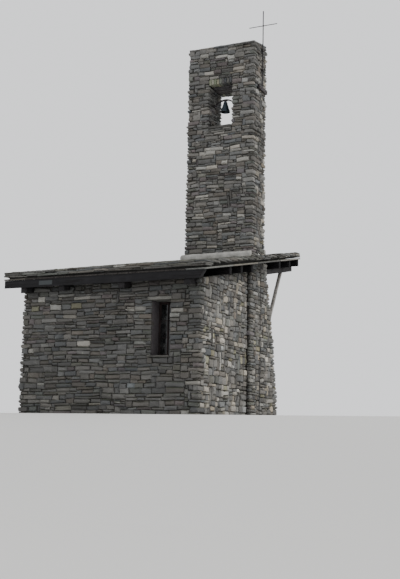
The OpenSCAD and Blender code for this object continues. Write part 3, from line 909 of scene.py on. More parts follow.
@dataclass
class BlockPile:
    """Copies of one block template, gathered one by one and then joined into one mesh.

    Attributes:
        template: The block that is copied.
        rng: Source of the small differences between copies.
        ragged: How far a slab's rim and face wander, in metres.
        jitter: How far every point wanders, in metres.
    """

    template: BlockTemplate
    rng: np.random.Generator
    ragged: float = 0.0
    jitter: float = 0.0
    corners: list[np.ndarray] = field(default_factory=list)
    tints: list[Colour] = field(default_factory=list)
    rims: list[Triple] = field(default_factory=list)
    bulges: list[float] = field(default_factory=list)

    def add(self, corners: np.ndarray, tint: Colour, rims: Triple = (0.01, 0.01, 0.01),
            bulge: float = 0.0) -> None:
        """Adds one copy.

        Args:
            corners: Its eight corners, indexed by up, into the wall and across.
            tint: Its colour.
            rims: Width of its worn edges across, into the wall and up.
            bulge: How far its shown faces stand out of its corners.
        """
        self.corners.append(corners)
        self.tints.append(tint)
        self.rims.append(rims)
        self.bulges.append(bulge)

    def lay(self, across: Plan, along: Plan, top: Callable[[float], float], thick: float, tint: Colour,
            lift: np.ndarray | float = 0.0, rims: Triple = (0.012, 0.012, 0.012)) -> None:
        """Adds a slab or a board that follows a slope.

        Args:
            across: Its ends in x.
            along: Its ends in y.
            top: Height of its upper face at a place in y.
            thick: Its thickness.
            tint: Its colour.
            lift: How far its corners are off that height, by y and x.
            rims: Width of its worn edges.
        """
        corners = np.empty((2, 2, 2, 3))
        corners[..., 0] = across
        corners[..., 1] = np.reshape(along, (2, 1))
        heights = np.array([[top(y)] * 2 for y in along]) + lift
        corners[0, ..., 2], corners[1, ..., 2] = heights - thick, heights
        self.add(corners, tint, rims)

    def shaped(self) -> np.ndarray:
        """Warps the template to the corners of every copy.

        Returns:
            Places of the points, by copy and point.
        """
        corners = np.array(self.corners)
        spans = [np.linalg.norm(corners.take(1, k) - corners.take(0, k), axis=-1).mean((1, 2))
                 for k in (3, 2, 1)]
        size = np.maximum(np.stack(spans, axis=1), 0.005)[:, None, :]
        rim = np.minimum(np.array(self.rims)[:, None, :] / size, 0.32)
        swell = np.array(self.bulges)[:, None, None] / size
        unit, edge = self.template.points[None], BlockTemplate.EDGE
        inner = rim + (unit - edge) / (1 - 2 * edge) * (1 - 2 * rim)
        inner = inner + self.rng.uniform(-1, 1, inner.shape) * self.template.slack
        share = np.select([unit < -0.001, unit > 1.001, unit < edge, unit > 1 - edge],
                          [-swell, 1 + swell, unit / edge * rim, 1 - (1 - unit) / edge * rim], inner)
        ends = np.stack([1 - share, share], axis=-1)
        return np.einsum("nvdsk,npv,npd,nps->npk", corners, ends[:, :, 2], ends[:, :, 1],
                         ends[:, :, 0], optimize=True)

    def build(self, name: str) -> Object:
        """Joins the copies into one object.

        Args:
            name: Name of the object.

        Returns:
            The object, whose mesh carries each copy's colour.
        """
        points = self.shaped()
        count, each = points.shape[:2]
        if self.ragged:
            columns = int(self.template.column.max()) + 1
            drift = self.rng.normal(0, self.ragged, (count, columns, 2))
            points[..., :2] += drift[:, self.template.column]
            points[..., 2] += self.rng.normal(0, self.ragged * 0.12, (count, each))
        points += self.rng.normal(0, self.jitter, points.shape)
        points = np.clip(points, *CAD_BOX)
        faces = self.template.faces
        loops = np.concatenate([np.array(face) for face in faces])
        starts = np.cumsum([0] + [len(face) for face in faces[:-1]])
        mesh = bpy.data.meshes.new(name)
        mesh.vertices.add(count * each)
        mesh.vertices.foreach_set("co", points.reshape(-1))
        mesh.loops.add(count * len(loops))
        number = np.arange(count)[:, None]
        mesh.loops.foreach_set("vertex_index", (loops[None] + number * each).reshape(-1))
        mesh.polygons.add(count * len(faces))
        mesh.polygons.foreach_set("loop_start", (starts[None] + number * len(loops)).reshape(-1))
        tint = mesh.attributes.new(TINT, "FLOAT_COLOR", "POINT")
        colours = np.concatenate([np.array(self.tints), np.ones((count, 1))], axis=1)
        tint.data.foreach_set("color", np.repeat(colours, each, axis=0).reshape(-1))
        mesh.update(calc_edges=True)
        mesh.validate()
        return linked(name, mesh)


class StoneColour(Enum):
    """Colours of the walls' stones."""

    SLATE = (0.103, 0.103, 0.101)
    GREY = (0.128, 0.125, 0.118)
    BROWN = (0.119, 0.111, 0.101)
    PURPLE = (0.112, 0.1, 0.1)
    GREEN = (0.109, 0.111, 0.1)
    PALE = (0.275, 0.266, 0.243)
    BEIGE = (0.25, 0.23, 0.192)
    YELLOW = (0.2, 0.19, 0.135)


@dataclass(frozen=True)
class StoneMix:
    """Shares of the stones' colours on one face.

    Attributes:
        shares: Share of each colour, which together make 1.
        light: How much lighter this face's stones are.
        spread: Spread of the lightness from stone to stone.
    """

    shares: tuple[tuple[StoneColour, float], ...]
    light: float = 1.0
    spread: float = 0.2

    def draw(self, rng: np.random.Generator) -> Colour:
        """Draws the colour of one stone.

        Args:
            rng: Source of its kind and its lightness.

        Returns:
            The colour.
        """
        kinds = [kind for kind, _ in self.shares]
        weights = np.array([share for _, share in self.shares])
        kind = kinds[int(rng.choice(len(kinds), p=weights / weights.sum()))]
        return self.shade(kind, rng, self.light * float(np.exp(rng.normal(0, self.spread))))

    @staticmethod
    def shade(kind: StoneColour, rng: np.random.Generator, level: float) -> Colour:
        """Makes a kind of stone lighter or darker, and a little warmer or cooler.

        Args:
            kind: Kind of stone.
            rng: Source of its warmth.
            level: Its lightness, where 1 is the kind's own.

        Returns:
            The colour.
        """
        warmth = rng.normal(0, 0.025)
        red, green, blue = kind.value
        return red * level * (1 + warmth), green * level, blue * level * (1 - warmth)


PLAIN = ((StoneColour.SLATE, 0.34), (StoneColour.GREY, 0.36), (StoneColour.BROWN, 0.16),
         (StoneColour.PURPLE, 0.06), (StoneColour.GREEN, 0.06), (StoneColour.PALE, 0.02))
TOWER_MIX = StoneMix(PLAIN, light=1.17, spread=0.15)
CHAPEL_MIX = StoneMix(PLAIN, light=0.87, spread=0.14)
# Stones of the right faces: more pale and buff stones, and lighter over all as painted light for the sunlit
# side.
WARM_WITH_PAINTED_SUN = StoneMix((
    (StoneColour.SLATE, 0.2), (StoneColour.GREY, 0.36), (StoneColour.BROWN, 0.17),
    (StoneColour.GREEN, 0.05), (StoneColour.PALE, 0.13), (StoneColour.BEIGE, 0.07),
    (StoneColour.YELLOW, 0.02)), light=1.18, spread=0.2)


def divided(marks: Sequence[float], pitch: float) -> np.ndarray:
    """Divides the stretches between some marks into even steps.

    Args:
        marks: The marks in any order.
        pitch: About the length of a step.

    Returns:
        Marks and steps in rising order.
    """
    ends = sorted({round(mark, 3) for mark in marks})
    ends = [mark for before, mark in zip([-math.inf, *ends], ends) if mark - before > 0.012]
    runs = [np.linspace(a, b, max(1, round((b - a) / pitch)), endpoint=False)
            for a, b in zip(ends, ends[1:])]
    return np.concatenate([*runs, ends[-1:]])


@dataclass(frozen=True)
class Beds:
    """Rows that stones are measured in, and the gentle wave of all bed lines.

    Attributes:
        marks: Heights at which a bed line runs level.
        sway: How far the others wander up and down.
        pitch: Height of one row.
    """

    marks: tuple[float, ...]
    sway: float = 0.018
    pitch: float = 0.02

    def rows(self) -> np.ndarray:
        """Heights of all rows."""
        return divided(self.marks, self.pitch)

    def height(self, x: float, y: float, z: float) -> float:
        """Waves a bed line, except near a mark.

        Args:
            x: Place along x.
            y: Place along y.
            z: Height of the line without its wave.

        Returns:
            Its height over that place.
        """
        calm = min(1.0, min(abs(z - mark) for mark in self.marks) / 0.14)
        wave = 0.6 * math.sin(2.3 * x + 1.7 * y + 2.1 * z) + 0.4 * math.sin(5.3 * x - 4.1 * y + 3.7 * z)
        return z + self.sway * calm * wave


@dataclass(frozen=True)
class Hole:
    """Rectangle of a side that holds no stones: from start to end along it, and its heights."""

    start: float
    end: float
    bottom: float
    top: float


@dataclass(frozen=True)
class StoneCut:
    """Sizes of the stones of one face.

    Attributes:
        lengths: Least and greatest length of a stone.
        heights: Least and greatest height of a stone.
        upright: Share of narrow stones set on end.
        joint: Least and greatest gap between stones.
        wander: How far a corner of a stone is off its place.
        proud: How far the faces stand in front of the wall's plane at most.
        sunk: How far they lie behind it at most.
        bulge: How far the middle of a face stands out at most.
    """

    lengths: tuple[float, float] = (0.15, 0.5)
    heights: tuple[float, float] = (0.08, 0.18)
    upright: float = 0.03
    joint: tuple[float, float] = (0.01, 0.028)
    wander: float = 0.01
    proud: float = 0.024
    sunk: float = 0.018
    bulge: float = 0.026


def no_limit(x: float, y: float) -> float:
    """Top of a wall that nothing cuts off."""
    return math.inf


@dataclass(eq=False)
class Side:
    """One straight face of a wall, walked with the open air on the right.

    Distances along it are measured from its start, or back from its end if only its start moves
    with the height.

    Attributes:
        name: Name of the face, which its piece of stones takes.
        start: Place of its start at a height.
        end: Place of its end at a height.
        bottom: Height at which its stones begin.
        holes: Where it has no stones.
        top: Height over a point at which the wall ends.
        cut: Sizes of its stones.
        mix: Colours of its stones.
        accents: Stones that stand out by their colour: distance along it, height and colour.
        clear: Stretch along it in front of which something is fixed.
    """

    name: str
    start: Callable[[float], Plan]
    end: Callable[[float], Plan]
    bottom: float = 0.0
    holes: tuple[Hole, ...] = ()
    top: Callable[[float, float], float] = no_limit
    cut: StoneCut = StoneCut()
    mix: StoneMix = CHAPEL_MIX
    accents: tuple[tuple[float, float, StoneColour], ...] = ()
    clear: Plan = (0.0, 0.0)
    reach: float = field(init=False)
    hung: bool = field(init=False)

    def __post_init__(self) -> None:
        """Finds its greatest length and the end that it is measured from."""
        self.reach = max(self.length(z) for z in np.linspace(0.0, 5.0, 21))
        self.hung = self.start(0.0) != self.start(3.0) and self.end(0.0) == self.end(3.0)

    def length(self, z: float) -> float:
        """Length of the side at a height."""
        return math.dist(self.start(z), self.end(z))

    def span(self, z: float) -> Plan:
        """Distances along the side between which it lies at a height."""
        return (self.reach - self.length(z), self.reach) if self.hung else (0.0, self.length(z))

    def direction(self, z: float) -> np.ndarray:
        """Unit vector along the side."""
        step = np.array(self.end(z)) - np.array(self.start(z))
        return step / max(float(np.linalg.norm(step)), 1e-6)

    def outward(self, z: float) -> np.ndarray:
        """Unit vector out of the wall."""
        step = self.direction(z)
        return np.array([step[1], -step[0]])

    def spot(self, along: float, z: float) -> np.ndarray:
        """Place in plan at a distance along the side and a height."""
        fixed, back = (self.end, self.reach) if self.hung else (self.start, 0.0)
        return np.array(fixed(z)) + self.direction(z) * (along - back)


def at(x: float, y: float) -> Callable[[float], Plan]:
    """Place in plan that is the same at every height."""
    return lambda z: (x, y)


@dataclass
class Stone:
    """Rectangle of a lattice's cells: its rows and its columns.

    Attributes:
        row: Its lowest row.
        top: The row over it.
        col: Its first column.
        stop: The column after it.
        bonded: Whether it reaches round a corner.
    """

    row: int
    top: int
    col: int
    stop: int
    bonded: bool = False


class Lattice:
    """Cells of one side of a wall and the stones that take them up.

    A stone takes any rectangle of free cells, so beds step and joints shift as in rubble.
    NEAR is the number of columns that a joint moves off another, and that are too few for a stone.
    """

    OPEN, HOLE, SKY = -1, -2, -3
    EAVES = 4.8
    NEAR = 3

    def __init__(self, side: Side, rows: np.ndarray, rng: np.random.Generator) -> None:
        """Marks the cells that the side has.

        Args:
            side: The side.
            rows: Heights of the rows.
            rng: Source of the stones' sizes.
        """
        self.side, self.rows, self.rng = side, rows, rng
        marks = [0.0, side.reach] + [edge for hole in side.holes for edge in (hole.start, hole.end)]
        self.columns = divided([mark for mark in marks if 0 <= mark <= side.reach], 0.02)
        z = (rows[1:] + rows[:-1])[:, None] / 2
        along = (self.columns[1:] + self.columns[:-1])[None] / 2
        spans = np.array([side.span(float(level)) for level in z[:, 0]])
        held = (along > spans[:, :1]) & (along < spans[:, 1:]) & (z > side.bottom)
        for hole in side.holes:
            held &= ~((z > hole.bottom) & (z < hole.top) & (along > hole.start) & (along < hole.end))
        ceiling = np.array([side.top(*side.spot(float(place), self.EAVES)) for place in along[0]])
        self.owner = np.where(z > ceiling[None], self.SKY, np.where(held, self.OPEN, self.HOLE))
        self.stones: list[Stone] = []

    def take(self, stone: Stone) -> None:
        """Gives the free cells of a rectangle to a new stone.

        Args:
            stone: The stone.
        """
        block = self.owner[stone.row:stone.top, stone.col:stone.stop]
        block[block == self.OPEN] = len(self.stones)
        self.stones.append(stone)

    def room(self, row: int, top: int, place: float, way: int) -> float:
        """Free length from a place along the side, before it or after it.

        Args:
            row: Lowest row that has to be free.
            top: The row over the highest one.
            place: Distance along the side.
            way: 1 to look onwards or -1 to look back.

        Returns:
            The length.
        """
        middle = (self.columns[1:] + self.columns[:-1]) / 2
        block = self.owner[row:top]
        free = ((block == self.OPEN) | (block == self.SKY)).all(axis=0) & (block[0] == self.OPEN)
        free |= abs(middle - place) < 0.05
        free = free[middle > place] if way > 0 else free[middle < place][::-1]
        taken = np.flatnonzero(~free)
        count = int(taken[0]) if taken.size else len(free)
        edge = int(np.searchsorted(self.columns, place - 0.001)) + way * count
        return abs(float(self.columns[min(max(edge, 0), len(self.columns) - 1)]) - place)

    def reserve(self, row: int, top: int, start: float, end: float) -> None:
        """Gives a corner stone its cells.

        Args:
            row: Its lowest row.
            top: The row over it.
            start: Where it starts along the side.
            end: Where it ends.
        """
        col, stop = (int(np.argmin(abs(self.columns - place))) for place in (start, end))
        least, most = self.side.span(float(self.rows[row]))
        if end > most - 0.05:
            stop = min(stop + self.NEAR, len(self.columns) - 1)
        if start < least + 0.05:
            col = max(col - self.NEAR, 0)
        self.take(Stone(row, top, col, stop, bonded=True))

    def fill(self) -> None:
        """Fills every free cell, the lowest first."""
        for row in range(len(self.owner)):
            col = 0
            while True:
                free = np.flatnonzero(self.owner[row, col:] == self.OPEN)
                if not free.size:
                    break
                col += int(free[0])
                taken = np.flatnonzero(self.owner[row, col:] != self.OPEN)
                end = col + int(taken[0]) if taken.size else self.owner.shape[1]
                col = self.place(row, col, end)

    def place(self, row: int, col: int, end: int) -> int:
        """Sets one stone at the start of a free run.

        Args:
            row: Row of the run.
            col: Its first column.
            end: The column after it.

        Returns:
            The column after the stone.
        """
        least, most = self.side.cut.lengths
        run = float(self.columns[end] - self.columns[col])
        if run < 0.1 and self.grow(row, col, end):
            return end
        if run < 0.035:
            self.owner[row, col:end] = self.HOLE
            return end
        upright = run > 0.15 and self.rng.uniform() < self.side.cut.upright
        length = self.rng.uniform(0.05, 0.085) if upright else (
            least + (most - least) * self.rng.beta(1.4, 1.7))
        if not upright and run - length < least * 0.6:
            length = run if run < most * 1.15 else run / 2
        stop = int(np.argmin(abs(self.columns[:end + 1] - self.columns[col] - length)))
        stop = min(max(stop, col + 1), end)
        below = self.owner[row - 1] if row else self.owner[0]
        if stop < end and below[stop - 1] != below[stop]:
            stop += self.NEAR
        if end - stop <= self.NEAR:
            stop = end
        self.take(Stone(row, self.top_row(row, col, stop, upright), col, stop))
        return stop

    def top_row(self, row: int, col: int, stop: int, upright: bool) -> int:
        """Draws how high a stone reaches: often as high as its neighbour, never over an obstacle.

        Args:
            row: Its lowest row.
            col: Its first column.
            stop: The column after it.
            upright: Whether it is set on end.

        Returns:
            The row over it.
        """
        least, most = self.side.cut.heights
        block = self.owner[row:, col:stop]
        hard = ((block != self.OPEN) & (block != self.SKY)).any(axis=1)
        shut = np.flatnonzero(hard | (block != self.OPEN).all(axis=1))
        last = row + (int(shut[0]) if shut.size else len(block))
        low = self.rows[row]
        room = float(self.rows[last] - low)
        tall = self.rng.uniform(1.3, 2.2) * most if upright else self.rng.uniform(least, most)
        beside = self.owner[row, col - 1] if col else self.OPEN
        if beside >= 0 and not upright and self.rng.uniform() < 0.72:
            level = float(self.rows[self.stones[beside].top] - low)
            if least * 0.7 <= level <= most * 1.1:
                tall = level
        if room - tall < least * 0.8:
            tall = room if room < most * 1.35 or upright else room / 2
        top = row + 1 + int(np.argmin(abs(self.rows[row + 1:last + 1] - low - tall)))
        return min(top, last)

    def grow(self, row: int, col: int, end: int) -> bool:
        """Lets the stone under a narrow gap grow up into it.

        Args:
            row: Row of the gap.
            col: Its first column.
            end: The column after it.

        Returns:
            Whether the gap is closed.
        """
        index = int(self.owner[row - 1, col]) if row else self.HOLE
        if index < 0 or self.stones[index].bonded or not (self.owner[row - 1, col:end] == index).all():
            return False
        wide = self.owner.shape[1]
        top = row
        while top < len(self.owner) and (self.owner[top, col:end] == self.OPEN).all() and (
                col == 0 or self.owner[top, col - 1] != self.OPEN) and (
                end == wide or self.owner[top, end] != self.OPEN):
            top += 1
        self.owner[row:top, col:end] = index
        self.stones[index].top = top
        return top > row

    def find(self, along: float, z: float) -> int:
        """Finds the stone at a place of the side.

        Args:
            along: Distance along the side.
            z: Height.

        Returns:
            Its number, or a negative number where there is none.
        """
        row, col = (int(np.searchsorted(*pair)) - 1 for pair in ((self.rows, z), (self.columns, along)))
        tall, wide = self.owner.shape
        return int(self.owner[min(max(row, 0), tall - 1), min(max(col, 0), wide - 1)])


@dataclass(frozen=True)
class Bond:
    """Corner at which the stones of one side's end and of another side's start are bonded.

    Attributes:
        pile: Name of the piece that its stones belong to.
        first: Name of the side that ends there.
        second: Name of the side that starts there.
        bottom: Lowest height.
        top: Greatest height.
        place: Distance along the first side, if it goes on beyond the corner.
        onto: Distance along the second side, if it begins before the corner.
    """

    pile: str
    first: str
    second: str
    bottom: float = 0.0
    top: float = 99.0
    place: float | None = None
    onto: float | None = None


class Masonry:
    """Lays rubble stones on the sides of the walls and round their corners.

    RIMS holds the least and greatest width of a stone's worn edges across, into the wall and up.
    """

    RIMS = ((0.02, 0.07), (0.015, 0.035), (0.014, 0.034))

    def __init__(self, sides: Sequence[Side], beds: Beds, rng: np.random.Generator) -> None:
        """Takes what it needs to lay the stones.

        Args:
            sides: Faces of all walls.
            beds: Rows and bed lines of the stones.
            rng: Source of the stones' sizes.
        """
        self.beds, self.rng = beds, rng
        self.rows = beds.rows()
        self.lattices = {side.name: Lattice(side, self.rows, rng) for side in sides}
        self.facing = BlockTemplate.stone(FRONT)
        self.quoin = BlockTemplate.stone(FRONT, FAR_SIDE)
        self.piles: dict[str, BlockPile] = {}

    def lay(self, bonds: Sequence[Bond]) -> dict[str, BlockPile]:
        """Stacks the corners and fills the sides between them.

        Args:
            bonds: The corners.

        Returns:
            The piles of stones by the names of their pieces.
        """
        for bond in bonds:
            self.piles.setdefault(bond.pile, BlockPile(self.quoin, self.rng, jitter=0.0028))
            self.stack(bond)
        for name, lattice in self.lattices.items():
            lattice.fill()
            pile = self.piles.setdefault(name + "_stones", BlockPile(self.facing, self.rng, jitter=0.0032))
            accents = {lattice.find(along, z): colour for along, z, colour in lattice.side.accents}
            for number, stone in enumerate(lattice.stones):
                if not stone.bonded:
                    self.face_stone(pile, lattice, stone, accents.get(number))
        return self.piles

    def stack(self, bond: Bond) -> None:
        """Bonds two sides with stones that reach round the corner, in turn far along each.

        Args:
            bond: The corner.
        """
        first, second = self.lattices[bond.first], self.lattices[bond.second]
        least, most = first.side.cut.heights
        row = int(np.searchsorted(self.rows, bond.bottom - 0.001))
        last = min(int(np.searchsorted(self.rows, bond.top - 0.001)), len(self.rows) - 1)
        lengthwise = True
        while row < last:
            left = float(self.rows[last] - self.rows[row])
            tall = self.rng.uniform(least * 0.9, most)
            tall = left if left - tall < least * 0.7 else tall
            top = min(max(row + 1, int(np.argmin(abs(self.rows - self.rows[row] - tall)))), last)
            middle = float(self.rows[row] + self.rows[top]) / 2
            end = first.side.span(middle)[1] if bond.place is None else bond.place
            start = second.side.span(middle)[0] if bond.onto is None else bond.onto
            long, short = self.rng.uniform(0.26, 0.46), self.rng.uniform(0.13, 0.25)
            before, after = (long, short) if lengthwise else (short, long)
            before = min(before, first.room(row, top, end, -1), first.side.length(middle) * 0.44)
            after = min(after, second.room(row, top, start, 1), second.side.length(middle) * 0.44)
            if min(before, after) > 0.05:
                first.reserve(row, top, end - before, end)
                second.reserve(row, top, start, start + after)
                self.corner_stone(bond, (row, top), before, after)
            lengthwise = lengthwise != (self.rng.uniform() > 0.12)
            row = top

    def add(self, pile: BlockPile, side: Side, corners: np.ndarray, faces: Sequence[np.ndarray],
            accent: StoneColour | None = None, shy: bool = False) -> None:
        """Roughens a stone's corners, sets its face in or out and adds it to its pile.

        Args:
            pile: Pile that takes it.
            side: Side that it belongs to.
            corners: Its eight corners.
            faces: Outward directions of the faces that show.
            accent: Its colour, if that is given.
            shy: Whether it has to stay behind the wall's plane.
        """
        cut = side.cut
        tall = corners[1, :, :, 2] - corners[0, :, :, 2]
        if tall.max() < 0.022:
            return
        corners[1, :, :, 2] = np.maximum(corners[1, :, :, 2], corners[0, :, :, 2] + 0.01)
        for face in faces:
            corners[..., :2] += face * self.rng.uniform(-cut.sunk, -0.006 if shy else cut.proud)
        corners[..., 2] += self.rng.normal(0, cut.wander * 0.6, corners.shape[:3])
        corners += self.rng.normal(0, cut.wander * 0.5, (2, 1, 2, 3))
        rims = tuple(self.rng.uniform(least, most) for least, most in self.RIMS)
        bulge = self.rng.uniform(0.0, 0.002 if shy else cut.bulge / len(faces))
        # Grime, a darker patch over the bell's opening and painted shade, as a share of the stone's
        # lightness.
        level = weather_and_painted_shade(corners.mean((0, 1, 2)))
        if accent is None:
            tint = side.mix.draw(self.rng)
        else:
            tint = StoneMix.shade(accent, self.rng, side.mix.light * self.rng.uniform(0.75, 1.15))
        pile.add(corners, tuple(channel * level for channel in tint), rims, bulge)

    def face_stone(self, pile: BlockPile, lattice: Lattice, stone: Stone,
                   accent: StoneColour | None) -> None:
        """Lays one stone of a side.

        Args:
            pile: Pile that takes it.
            lattice: Lattice of the side.
            stone: The stone.
            accent: Its colour, if that is given.
        """
        side, rng = lattice.side, self.rng
        joint, bed = rng.uniform(*side.cut.joint), rng.uniform(*side.cut.joint) * 0.8
        start, end = float(lattice.columns[stone.col]), float(lattice.columns[stone.stop])
        low, high = float(self.rows[stone.row]), float(self.rows[stone.top])
        into = side.outward((low + high) / 2) * -rng.uniform(0.1, 0.2)
        lean = rng.normal(0, 0.045) * (high - low)
        corners = np.empty((2, 2, 2, 3))
        for up, level in enumerate((low, high)):
            for across, along in enumerate((start + joint / 2, end - joint / 2)):
                x, y = side.spot(along + lean * (up - 0.5), level)
                z = min(self.beds.height(x, y, level), side.top(x, y)) + (0.5 - up) * bed
                corners[up, 0, across] = x, y, z
                corners[up, 1, across] = x + into[0], y + into[1], z
        shy = start < side.clear[1] and end > side.clear[0]
        self.add(pile, side, corners, [side.outward((low + high) / 2)], accent, shy)

    def corner_stone(self, bond: Bond, rows: tuple[int, int], before: float, after: float) -> None:
        """Lays one stone round a corner.

        Args:
            bond: The corner.
            rows: Its lowest row and the row over it.
            before: Its length along the first side.
            after: Its length along the second side.
        """
        first, second = self.lattices[bond.first].side, self.lattices[bond.second].side
        joint, bed = (self.rng.uniform(*first.cut.joint) * share for share in (0.5, 0.8))
        levels = [float(self.rows[row]) for row in rows]
        middle = sum(levels) / 2
        along, onward = first.direction(middle), second.direction(middle)
        corners = np.empty((2, 2, 2, 3))
        for up, level in enumerate(levels):
            corner = np.array(first.end(level)) if bond.place is None else first.spot(bond.place, level)
            for deep, across in ((0, 0), (0, 1), (1, 0), (1, 1)):
                x, y = corner - along * (before - joint) * (1 - across) + onward * (after - joint) * deep
                z = min(self.beds.height(x, y, level), first.top(x, y), second.top(x, y))
                corners[up, deep, across] = x, y, z + (0.5 - up) * bed
        shy = after > second.clear[0] and second.clear[1] > 0
        self.add(self.piles[bond.pile], first, corners, [first.outward(middle), second.outward(middle)],
                 shy=shy)


def weather_and_painted_shade(spot: Sequence[float]) -> float:
    """Finds the masonry's lightness at a place: clouds of grime, a darker patch over the bell's opening,
    painted shade on the tower's right face over the roof and painted shadow under the eaves.

    Args:
        spot: Place on the masonry.

    Returns:
        Share of the stones' own lightness.
    """
    x, y, z = spot
    clouds = 1 + 0.07 * math.sin(1.9 * x + 2.3 * z + y) + 0.06 * math.sin(3.1 * x - 1.3 * z + 0.7)
    # Darker patch over the bell's opening.
    darker_over_opening = math.exp(-((x - SITE.bell_centre.x) / 0.5) ** 2 - ((z - SITE.soldier_top - 0.3) / 0.42) ** 2)
    # Painted shade on the tower's right face over the roof, which the sun lights.
    turned = 0.8 if x > SITE.tower_high.x - 0.11 and z > 5.3 else 1.0
    # Painted shadow of the eaves on the walls' tops under the roof.
    painted_eave_shadow = 0.4 * math.exp(-(max(0.0, SITE.roof(y) - 0.3 - z) / 0.22) ** 2) if z < SITE.roof(y) else 0.0
    return clouds * turned * (1 - 0.35 * darker_over_opening) * (1 - painted_eave_shadow)


@dataclass(frozen=True)
class Carpentry:
    """Places of the roof's timbers.

    Attributes:
        rafters: Middles of the rafters that come out of the front wall.
        porch_rafter: Middle of the rafter over the right buttress.
        rafter_half: Half the width that the masonry leaves free for one.
        rafter_low: Their underside, under the top of the boards.
        rafter_high: Their upper side, under the top of the boards.
    """

    rafters: tuple[float, ...] = (-4.685, -3.335, -1.289, 0.815)
    porch_rafter: float = 1.005
    rafter_half: float = 0.106
    rafter_low: float = 0.455
    rafter_high: float = 0.285

    def rafter_hole(self, along: float, y: float) -> Hole:
        """Hole of a rafter at a distance along a face, which lies at a place up the slope."""
        low, high = SITE.roof(y) - self.rafter_low, SITE.roof(y) - self.rafter_high
        return Hole(along - self.rafter_half, along + self.rafter_half, low, high)


TIMBERS = Carpentry()


class Rake:
    """Outer face of a buttress, which leans in towards its head."""

    def __init__(self, node: str) -> None:
        """Reads the face from the frame.

        Args:
            node: Name of the buttress.
        """
        points = np.array([vertex.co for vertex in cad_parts[node].data.vertices])
        face = np.unique(np.round(points[points[:, 1] > SITE.rear + 0.01, 1:], 4), axis=0)
        order = np.argsort(face[:, 1])
        self.heights, self.depths = face[order, 1], face[order, 0]

    def y(self, z: float) -> float:
        """Place of the face at a height."""
        return float(np.interp(z, self.heights, self.depths))

    def line(self, x: float) -> Callable[[float], Plan]:
        """Edge of the face at one side of the buttress."""
        return lambda z: (x, self.y(z))


